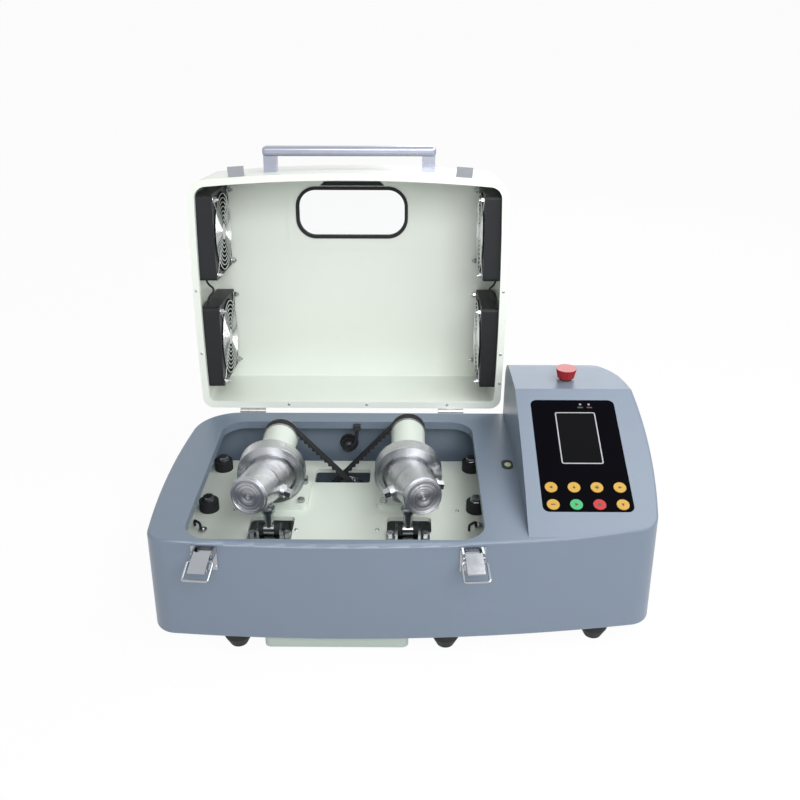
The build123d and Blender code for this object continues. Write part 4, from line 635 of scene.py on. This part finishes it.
class MillGuards(bpy.types.PropertyGroup):
    """Sizes of the fans' wire guards."""
    rings: bpy.props.IntProperty(
        name="Rings", description="Wire rings in each guard", default=8, min=2, max=14,
    )
    wire: length_property("Wire", "Thickness of a guard's wire", 1.5)
    outer: length_property("Outer radius", "Radius of the largest ring", 54.0)
    inner: length_property("Inner radius", "Radius of the smallest ring", 11.0)


class MillMarks(bpy.types.PropertyGroup):
    """Sizes of the control panel's printed marks."""
    line: length_property("Outline", "Width of the printed outline round the display", 1.5)
    lamp: length_property("Lamp", "Radius of an indicator lamp", 1.7)
    symbol: length_property("Sign", "Reach of a key's sign from its middle", 2.6)


class MillStudio(bpy.types.PropertyGroup):
    """The studio: lamp levels and camera."""
    sky: level_property("Sky", "Level of the even studio light", 0.4)
    key: level_property("Key lamp", "Power of the softbox above the console", 7.5)
    fill: level_property("Fill lamp", "Power of the front softbox", 22.5)
    back: level_property("Back lamp", "Power of the rear softbox", 6.0)
    paper: level_property("Paper", "Share of the floor's seen brightness that is its own", 0.95, max=1.0)
    lens: level_property("Lens", "Focal length on a 36 mm sensor", 41.049, low=10.0, unit="CAMERA")


class MillSettings(bpy.types.PropertyGroup):
    """Everything a user would change."""
    finishes: bpy.props.PointerProperty(type=MillFinishes)
    guards: bpy.props.PointerProperty(type=MillGuards)
    marks: bpy.props.PointerProperty(type=MillMarks)
    studio: bpy.props.PointerProperty(type=MillStudio)


class MillHousing(bpy.types.Operator):
    """Enamel the base with its pan, the lid, the mill plate, the arms and the motor"""
    bl_idname = "mill.housing"
    bl_label = "Housing enamel"

    def execute(self, context):
        look = settings(context).finishes
        dress(paint("housing_enamel", look.housing, 0.36), "base_shell")
        dress(paint("cream_enamel", look.cream, 0.3, coat=0.2), "lid_shell")
        dress(paint("plate_enamel", look.plate, 0.34), "mill_plate", "left_pedestal", "right_pedestal")
        # The pan's finish carries painted shade: its cream is darkened for the shadow under the base
        dress(paint("pan_enamel", look.pan, 0.4), "base_pan")
        dress(paint("motor_enamel", look.motor, 0.42), "motor_housing")
        return {"FINISHED"}


class MillRubber(bpy.types.Operator):
    """Rubber of the feet, mounts, belts and window gasket"""
    bl_idname = "mill.rubber"
    bl_label = "Rubber"

    def execute(self, context):
        look = settings(context).finishes
        dress(rubber("foot_rubber", look.rubber), "rubber_feet", "rubber_mounts")
        dress(rubber("belt_rubber", look.rubber, 0.7), "drive_belts")
        dress(rubber("gasket_rubber", look.rubber, 0.5), "window_gasket")
        return {"FINISHED"}


class MillMetal(bpy.types.Operator):
    """Turned, brushed and plated metal, with tool marks about each piece's own axis"""
    bl_idname = "mill.metal"
    bl_label = "Metal"

    def arm(self, look, name, side):
        """Finishes of an arm: tool marks about the jar's axis, the cup's and the shaft's."""
        root = tuple(deck((ARM_X[name], ARM_ROOT_Y, ARM_ROOT_Z)))
        level = math.cos(ARM_PITCH)
        axis = (side * math.sin(ARM_YAW) * level, -math.cos(ARM_YAW) * level, math.sin(ARM_PITCH))
        swing = joints[name + "_arm_swing"]
        cup = tuple(swing["pos_m"]), tuple(-a for a in swing["axis"])
        spin = tuple(joints[name + "_crank_spin"]["pos_m"])
        holder = turned_metal(name + "_holder_alloy", look.alloy, root, axis, 0.3, cup)
        jar = turned_metal(name + "_jar_steel", look.steel, root, axis, 0.3)
        shaft = turned_metal(name + "_shaft_steel", look.shafts, spin, SHAFT_AXIS, 0.28)
        dress(holder, name + "_holder")
        dress(jar, name + "_jar")
        dress(shaft, name + "_shaft", name + "_pulley")

    def execute(self, context):
        look = settings(context).finishes
        for name, side in SIDES.items():
            self.arm(look, name, side)
        motor = tuple(joints["motor_spin"]["pos_m"])
        dress(turned_metal("motor_steel", look.shafts, motor, SHAFT_AXIS), "motor_rotor", "motor_pulley")
        dress(plated("fastener_plate", look.fasteners, 0.25), "plate_screws", "left_clamp_screws",
              "right_clamp_screws", "shaft_bearings")
        dress(brushed("link_steel", look.links, 2, 0.24), "reaction_links")
        dress(brushed("hinge_steel", look.hinges, 0, 0.34), "hinge_base_leaves", "hinge_lid_leaves")
        dress(brushed("handle_satin", look.satin, 0, 0.3), "lid_handle")
        dress(plated("latch_chrome", look.chrome), "latch_plates", "latch_keepers",
              *(f"{side}_latch_{part}" for side in SIDES for part in ("lever", "bail")))
        return {"FINISHED"}


class MillPlastic(bpy.types.Operator):
    """Plastic of the fans, the console and the rear fittings, and the glass of display and window"""
    bl_idname = "mill.plastic"
    bl_label = "Plastic and glass"

    def execute(self, context):
        look = settings(context).finishes
        rotors = (name for name in nodes if "fan_rotor" in name)
        dress(moulded("fan_plastic", look.plastic, 0.42, shine=0.18), "fan_frames", *rotors)
        dress(moulded("fitting_plastic", look.plastic, 0.4), "estop_stem", "power_inlet", "power_switch")
        dress(moulded("collar_plastic", look.collar, 0.3), "estop_base")
        dress(moulded("stop_red", look.stop, 0.25, coat=0.25), "estop_head")
        dress(moulded("panel_film", look.film, 0.4, texture=0.00001, shine=0.01), "console_panel")
        dress(moulded("display_glass", look.display, 0.12, texture=0.0, shine=0.02), "display_window")
        dress(moulded("sensor_plastic", look.sensor, 0.3, shine=0.3), "lid_sensor")
        yellow = moulded("key_yellow", look.yellow, 0.35, shine=0.3)
        coloured = {
            "key_lower_2": moulded("key_green", look.green, 0.35, shine=0.3),
            "key_lower_3": moulded("key_red", look.red, 0.35, shine=0.3),
        }
        for node in (name for name in nodes if name.startswith("key_")):
            dress(coloured.get(node, yellow), node)
        dress(window_glass("window_pane"), "lid_window")
        return {"FINISHED"}


class MillFanGuards(bpy.types.Operator):
    """Round-wire finger guards on the fans, with their screws and nuts"""
    bl_idname = "mill.fan_guards"
    bl_label = "Fan guards"

    corners = [(sx * FAN_SCREW, sy * FAN_SCREW, 0) for sx in (-1, 1) for sy in (-1, 1)]

    def guard(self, look):
        """Rings in one plane on two crossed wires that end in eyes about the fan's screws."""
        wire = look.wire / MM / 2
        eye = 3.4
        radii = np.linspace(look.inner / MM, look.outer / MM, look.rings)
        level = -FAN_FACE - 3 * wire
        parts = [ring_wire(radius, wire, level) for radius in radii]
        hub, low = radii[0], level - wire
        parts.append(lathed([(0, low), (hub, low), (hub, level), (0, level)], 24))
        reach = FAN_SCREW * math.sqrt(2) - eye
        for angle in (math.pi / 4, 3 * math.pi / 4):
            along = np.array([[math.cos(angle), math.sin(angle), 0.0]])
            run = np.linspace(-reach, reach, 9)[:, None] * along + (0, 0, -FAN_FACE - wire)
            parts.append(wire_along(run, wire, (0, 0, 1)))
        eyes = [moved(ring_wire(eye, wire, -FAN_FACE - wire, 20), corner) for corner in self.corners]
        return joined(*parts, *eyes)

    def fixings(self):
        """Through screws at the corners, each with a hexagon nut on the guard's eye."""
        face = -FAN_FACE
        stud = lathed([(0, face - 8.5), (1.7, face - 8.5), (2.0, face - 8.1), (2.0, face), (0, face)], 14)
        parts = []
        for corner in self.corners:
            nut = outline_prism(polygon(4.0, 6, math.copysign(0.3, corner[0])), face - 5.2, face - 1.9)
            parts.append(moved(joined(nut, stud), corner))
        return joined(*parts)

    def execute(self, context):
        finishes = settings(context).finishes
        look = settings(context).guards
        guards, screws = [], []
        for side in SIDES.values():
            outward = np.array([[0, 0, side], [1, 0, 0], [0, side, 0]], float)
            for reach in FAN_REACH:
                middle = (side * FAN_X, -reach, FAN_RISE)
                guards.append(placed(moved(self.guard(look), middle, outward), lid))
                screws.append(placed(moved(self.fixings(), middle, outward), lid))
        wire = plated("guard_wire", finishes.wire, 0.2)
        piece = made("fan_wire_guards", joined(*guards), wire, "lid")
        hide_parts("fan_guards")
        zinc = plated("guard_screws", finishes.guard_zinc, 0.3)
        made("fan_guard_screws", joined(*screws), zinc, "lid")
        return {"FINISHED"}


class MillCords(bpy.types.Operator):
    """The fans' leads, and the lid switch's cable with its gland and clip"""
    bl_idname = "mill.cords"
    bl_label = "Cords"

    def fan_lead(self, name, side, jacket):
        """A lead that hangs in a shallow bow between the two fans of one side."""
        near, far = LEAD_ENDS
        x, slack, middle = side * LEAD_X, side * LEAD_SLACK_X, (near + far) / 2
        route = lid([
            (x, -near, LEAD_RISE), (x, -near - 8, LEAD_RISE), (slack, -middle, LEAD_RISE + 7),
            (x, -far + 8, LEAD_RISE), (x, -far, LEAD_RISE),
        ])
        lead = nurbs_cord(name + "_fan_lead", route, LEAD_THICKNESS * MM, jacket)
        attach(lead, "lid")
        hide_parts("fan_leads")
        tuple(route[0])

    def gland(self):
        """On z = 0 a flange, a twelve-sided nut with a rib on each side, and the cable's dome."""
        flange = lathed([(0, 0), (13.5, 0), (13.5, 2.2), (12.7, 3), (0, 3)], 36)
        nut = outline_prism(polygon(11.6, 12), 3, 9)
        crown = [(9.2 * math.cos(a), 9 + 8 * math.sin(a)) for a in np.linspace(0, 1.25, 7)]
        dome = lathed([(0, 9)] + crown + [(2.7, 17), (0, 17)], 28)
        rib = outline_prism([(-0.9, -0.7), (0.9, -0.7), (0.9, 0.7), (-0.9, 0.7)], 3.2, 8.8)
        outward = [(math.cos(a), math.sin(a), 0) for a in (np.arange(12) + 0.5) * math.pi / 6]
        ribs = [moved(rib, np.array(way) * 11.3, aligned((0, 0, 1), way)) for way in outward]
        return joined(flange, nut, dome, *ribs)

    def switch_cable(self, look, jacket):
        """The cable from its gland in the well's rear wall up to its clip under the deck's edge."""
        wall = BASE_REAR - GLAND_Z * WALL_DRAFT - WELL_WALL
        route = deck([
            (GLAND_X, wall - 2, GLAND_Z), (GLAND_X, CLIP_Y + 3, GLAND_Z), (CLIP_X, CLIP_Y, GLAND_Z + 17),
            (CLIP_X, CLIP_Y, -6.0),
        ])
        cable = nurbs_cord("lid_switch_cable", route, CABLE_THICKNESS * MM, jacket)
        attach(cable, "frame")
        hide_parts("lid_cable")
        plastic = moulded("gland_plastic", look.cord, 0.4)
        forwards = np.array([[1, 0, 0], [0, 0, -1], [0, 1, 0]], float)
        body = placed(moved(self.gland(), (GLAND_X, wall, GLAND_Z), forwards), deck)
        gland = made("cable_gland", body, plastic, "frame")
        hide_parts("lid_cable")
        strap = outline_prism(rounded_rectangle(10, 7.2, 1.2), -11, -3)
        strap = placed(moved(strap, (CLIP_X, CLIP_Y - 0.55, 0)), deck)
        clip = made("cable_clip", strap, plastic, "frame")
        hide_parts("lid_cable")

    def execute(self, context):
        look = settings(context).finishes
        jacket = rubber("cord_jacket", look.cord, 0.55)
        for name, side in SIDES.items():
            self.fan_lead(name, side, jacket)
        self.switch_cable(look, jacket)
        return {"FINISHED"}


class MillSmallScrews(bpy.types.Operator):
    """Screws of the lid's rim, hinges, latches and mill plate, with the plate's two rubber hooks"""
    bl_idname = "mill.small_screws"
    bl_label = "Small screws"

    def rim_screws(self):
        """Low pan screws on the underside of the lid's rim, heads facing out of the open lid."""
        head = moved(pan_screw(2.1, 0.7), turn=aligned((0, 0, -1)))
        rear = [(x, 6.5) for x in (-92.0, 22.0, 140.0)]
        sides = [(-215.0, 84.0), (-216.0, 176.0), (215.0, 84.0), (216.0, 176.0), (215.5, 40.0)]
        return joined(*(moved(head, (x, -reach, 0)) for x, reach in rear + sides))

    def leaf_screws(self, face, outer, inner):
        """Screws on both hinges, heads facing the rear: three in the outer row, two in the inner one."""
        head = moved(pan_screw(2.6, 1.3), turn=aligned((0, 1, 0)))
        spots = [(-12.0, outer), (-12.0, inner), (0.0, outer), (12.0, outer), (12.0, inner)]
        return joined(*(moved(head, (x + across, face, z)) for x in HINGE_X for across, z in spots))

    def latch_screws(self):
        """Two screws low on each latch plate, square to the bowed and drafted wall."""
        head = pan_screw(2.2, 1.1)
        aside, plate, down = 12.3, 1.5, 31.5
        parts = []
        for x in LATCH_X:
            yaw = math.asin(x / FRONT_RADIUS)
            run = np.array([math.cos(yaw), math.sin(yaw), 0.0])
            out = np.array([math.sin(yaw), -math.cos(yaw), 0.0])
            up = np.array([0.0, 0.0, 1.0]) - out * WALL_DRAFT
            foot = np.array([x, -BASE_FRONT + FRONT_RADIUS * (1 - math.cos(yaw)), 0.0])
            turn = aligned(out + (0, 0, WALL_DRAFT))
            for side in (-1, 1):
                parts.append(moved(head, foot + run * side * aside + out * plate - up * down, turn))
        return joined(*parts)

    def plate_screws(self):
        """Low screws that hold the plate's stiffeners, between the arms and beside them."""
        head = pan_screw(2.8, 1.4)
        spots = [
            (-62.0, -205.0), (43.0, -204.0), (149.0, -158.0),
            (-72.0, -37.0), (62.0, -37.0), (-149.0, -158.0),
        ]
        return joined(*(moved(head, (x, y, PLATE_TOP)) for x, y in spots))

    def hooks(self):
        """(hooks, washers): a bent rubber hook with a screwed washer at each front corner of the plate."""
        path = bent([(-9, 0, 1.4), (-9, 0, 10), (3, 0, 10), (3, 0, 1.4), (9, 0, 1.4)], 3.2)
        hook = wire_along(path, 1.7, (0, 1, 0))
        disc = lathed([(0, 0), (5.2, 0), (5.2, 1.2), (0, 1.2)], 24)
        washer = joined(disc, moved(pan_screw(2.6, 1.6), (0, 0, 1.2)))
        parts, washers = [], []
        for x, y, turn in ((-188.0, -204.0, -0.7), (169.0, -201.0, 0.7)):
            c, s = math.cos(turn), math.sin(turn)
            spin = np.array([[c, -s, 0], [s, c, 0], [0, 0, 1]])
            parts.append(moved(hook, (x, y, PLATE_TOP), spin))
            washers.append(moved(washer, spin @ (8.0, 0.0, 0.0) + (x, y, PLATE_TOP + 2.8)))
        return joined(*parts), joined(*washers)

    def execute(self, context):
        look = settings(context).finishes
        zinc = plated("small_screws", look.zinc, 0.28)
        hooks, washers = self.hooks()
        sets = [
            ("lid_rim_screws", self.rim_screws(), lid, "lid"),
            ("base_leaf_screws", self.leaf_screws(BASE_LEAF_FACE, -19.0, -11.0), deck, "frame"),
            ("lid_leaf_screws", self.leaf_screws(LID_LEAF_FACE, 16.0, 8.0), lid, "lid"),
            ("latch_plate_screws", self.latch_screws(), deck, "frame"),
            ("plate_small_screws", joined(self.plate_screws(), washers), deck, "frame"),
        ]
        for name, shape, place, body in sets:
            made(name, placed(shape, place), zinc, body)
        soft = rubber("hook_rubber", look.rubber)
        made("plate_hooks", placed(hooks, deck), soft, "frame")
        return {"FINISHED"}


class MillConsoleMarks(bpy.types.Operator):
    """Printed outline and bars, indicator lamps and key signs of the console, and the lid sensor's lens"""
    bl_idname = "mill.console_marks"
    bl_label = "Console marks"

    key_signs = {
        "key_upper_1": "left", "key_upper_2": "up", "key_upper_3": "plus", "key_upper_4": "right",
        "key_lower_1": "minus", "key_lower_2": "start", "key_lower_3": "stop", "key_lower_4": "down",
    }
    sign_turns = {"right": 0, "start": 0, "up": 90, "left": 180, "down": -90}

    def sign(self, kind, reach):
        """Flat outlines: an arrow pointing one of four ways, a plus, a minus, a triangle or a square."""
        if kind in self.sign_turns:
            angle = math.radians(self.sign_turns[kind])
            spin = np.array([[math.cos(angle), math.sin(angle)], [-math.sin(angle), math.cos(angle)]])
            half = 0.95 if kind == "start" else 0.75
            return [np.array([(1.0, 0.0), (-0.6, half), (-0.6, -half)]) * reach @ spin]
        square = np.array([(-1, -1), (1, -1), (1, 1), (-1, 1)]) * reach
        if kind == "stop":
            return [square * 0.72]
        bar = square * (1, 0.28)
        return [bar, bar[:, ::-1][::-1]] if kind == "plus" else [bar]

    def outline(self, look, marks):
        """The pale line round the display."""
        width, height = (size + 2 * DISPLAY_MARGIN for size in DISPLAY_SIZE)
        band = frame_band(width, height, 3.0, marks.line / MM, -SUNK, 0.32)
        band = placed(moved(band, (*DISPLAY_CENTRE, 0)), slope)
        made("display_outline", band, moulded("printed_grey", look.printed, 0.45), "frame")

    def lamps(self, look, marks):
        """Two low domes, and under each the dim bar that stands for its printed word."""
        radius, sunk = marks.lamp / MM, 0.1
        dome = [(radius * math.cos(a), 1.1 * math.sin(a)) for a in np.linspace(0, math.pi / 2, 6)]
        dome = lathed([(0, -sunk), (radius, -sunk)] + dome, 20)
        domes = placed(joined(*(moved(dome, (x, LAMP_ROW, 0)) for x in LAMP_COLUMNS)), slope)
        glass = moulded("lamp_lens", look.lamp, 0.2, coat=0.5)
        made("indicator_lamps", domes, glass, "frame")
        bar = outline_prism(rounded_rectangle(7.0, 2.2, 0.6), -SUNK, 0.3)
        for name, x in BAR_COLUMNS.items():
            printed = moulded(name + "_print", getattr(look, name), 0.5)
            made(name + "_bar", placed(moved(bar, (x, BAR_ROW, 0)), slope), printed, "frame")

    def sensor_lens(self, look):
        """A round dome of radius 1 stretched to the sensor's oval."""
        arc = [(math.cos(a), math.sin(a)) for a in np.linspace(0, math.pi / 2, 7)]
        points, faces = lathed([(0, -0.2), (1, -0.2)] + arc, 32)
        oval = placed(moved((points * SENSOR_LENS_SIZE, faces), SENSOR_LENS), deck)
        glass = moulded("lens_plastic", look.lens, 0.15, coat=0.6, texture=0.0)
        made("sensor_lens", oval, glass, "frame")

    def signs(self, look, marks):
        """Each key's sign, raised a little from its top, riding on the key."""
        ink = moulded("printed_dark", look.ink, 0.5)
        spots = [(x, y) for y in KEY_ROWS for x in KEY_COLUMNS]
        for (name, kind), (x, y) in zip(self.key_signs.items(), spots):
            flats = self.sign(kind, marks.symbol / MM)
            raised = joined(*(outline_prism(flat, KEY_TOP - SUNK, KEY_TOP + 0.12) for flat in flats))
            raised = placed(moved(raised, (x, y, 0)), slope)
            made(name + "_symbol", raised, ink, name + "_body")

    def execute(self, context):
        look = settings(context).finishes
        marks = settings(context).marks
        self.outline(look, marks)
        self.lamps(look, marks)
        self.sensor_lens(look)
        self.signs(look, marks)
        return {"FINISHED"}


class MillStage(bpy.types.Operator):
    """Pale floor, soft light and the camera"""
    bl_idname = "mill.stage"
    bl_label = "Studio"

    def facing(self, thing, way):
        """Turns a lamp or camera to look along a direction, with its top up."""
        thing.rotation_mode = "QUATERNION"
        thing.rotation_quaternion = Vector(way).to_track_quat("-Z", "Y")

    def softbox(self, name, power, size, where, towards):
        """A rectangular area lamp aimed at a point."""
        lamp = bpy.data.lights.new(name, "AREA")
        lamp.shape = "RECTANGLE"
        lamp.size, lamp.size_y = size
        lamp.energy = power
        holder = in_scene(name, lamp)
        holder.location = where
        self.facing(holder, Vector(towards) - Vector(where))

    def background(self, look):
        """Plain white where it is seen, also in metal or through glass, and an even level as light."""
        f = Finish("studio", "worlds")
        level = look.sky + f.watched("Camera", "Glossy", "Transmission") * (1.0 - look.sky)
        light = f.node("ShaderNodeBackground", {}, {"Color": (1.0, 1.0, 1.0, 1.0), "Strength": level})
        f.node("ShaderNodeOutputWorld", {}, {"Surface": light})
        bpy.context.scene.world = f.material

    def floor(self, look):
        """A wide flat sheet whose seen brightness is mostly its own, so that only a soft shadow stays."""
        line = np.linspace(-FLOOR_REACH, FLOOR_REACH, 5)
        u, v = np.meshgrid(line, line, indexing="ij")
        points, faces = woven(np.stack([u, v, np.zeros_like(u)], -1))
        mesh = bpy.data.meshes.new("studio_floor")
        mesh.from_pydata(points.tolist(), [], faces)
        f = Finish("studio_paper")
        matt = f.node("ShaderNodeBsdfDiffuse", {}, {"Color": (0.96, 0.96, 0.96, 1.0)})
        glow = f.node("ShaderNodeEmission", {}, {"Color": (1.0, 1.0, 1.0, 1.0), "Strength": 1.0})
        seen = f.watched("Camera", "Glossy", "Transmission") * look.paper
        paper = f.node("ShaderNodeMixShader", {}, {0: seen, 1: matt, 2: glow})
        f.node("ShaderNodeOutputMaterial", {}, {"Surface": paper})
        mesh.materials.append(f.material)
        in_scene("studio_floor", mesh)

    def camera(self, look):
        """The camera at the photograph's viewing angle."""
        lens = bpy.data.cameras.new("photo_camera")
        lens.lens = look.lens
        lens.sensor_width = CAMERA_SENSOR
        eye = in_scene("photo_camera", lens)
        eye.location = deck(CAMERA_EYE)
        level = math.cos(CAMERA_DOWN)
        self.facing(eye, (
            math.sin(CAMERA_ASIDE) * level, math.cos(CAMERA_ASIDE) * level, -math.sin(CAMERA_DOWN),
        ))
        bpy.context.scene.camera = eye

    def execute(self, context):
        look = settings(context).studio
        context.scene.view_settings.view_transform = "Standard"
        self.background(look)
        self.floor(look)
        for name, (level, size, where, towards) in SOFTBOXES.items():
            self.softbox(name, getattr(look, level), size, where, towards)
        self.camera(look)
        return {"FINISHED"}


class MillPanel(bpy.types.Panel):
    """Sidebar list of the mill's operators and settings"""
    bl_idname = "VIEW3D_PT_mill"
    bl_label = "Mill"
    bl_space_type = "VIEW_3D"
    bl_region_type = "UI"
    bl_category = "Mill"

    def draw(self, context):
        for operator in operators:
            self.layout.operator(operator.bl_idname)
        look = settings(context)
        for group in (look.finishes, look.guards, look.marks, look.studio):
            box = self.layout.box()
            for key in group.bl_rna.properties.keys():
                if key not in ("rna_type", "name"):
                    box.prop(group, key)


groups = (MillFinishes, MillGuards, MillMarks, MillStudio, MillSettings)
operators = (
    MillHousing, MillRubber, MillMetal, MillPlastic, MillFanGuards, MillCords, MillSmallScrews,
    MillConsoleMarks, MillStage,
)


def register():
    """Adds the classes, and the settings to every scene."""
    for kind in groups + operators + (MillPanel,):
        bpy.utils.register_class(kind)
    bpy.types.Scene.mill = bpy.props.PointerProperty(type=MillSettings)


def unregister():
    del bpy.types.Scene.mill
    for kind in reversed(groups + operators + (MillPanel,)):
        bpy.utils.unregister_class(kind)


def main():
    """Makes every piece in order."""
    register()
    for operator in operators:
        area, name = operator.bl_idname.split(".")
        getattr(getattr(bpy.ops, area), name)()


if __name__ == "__main__":
    main()
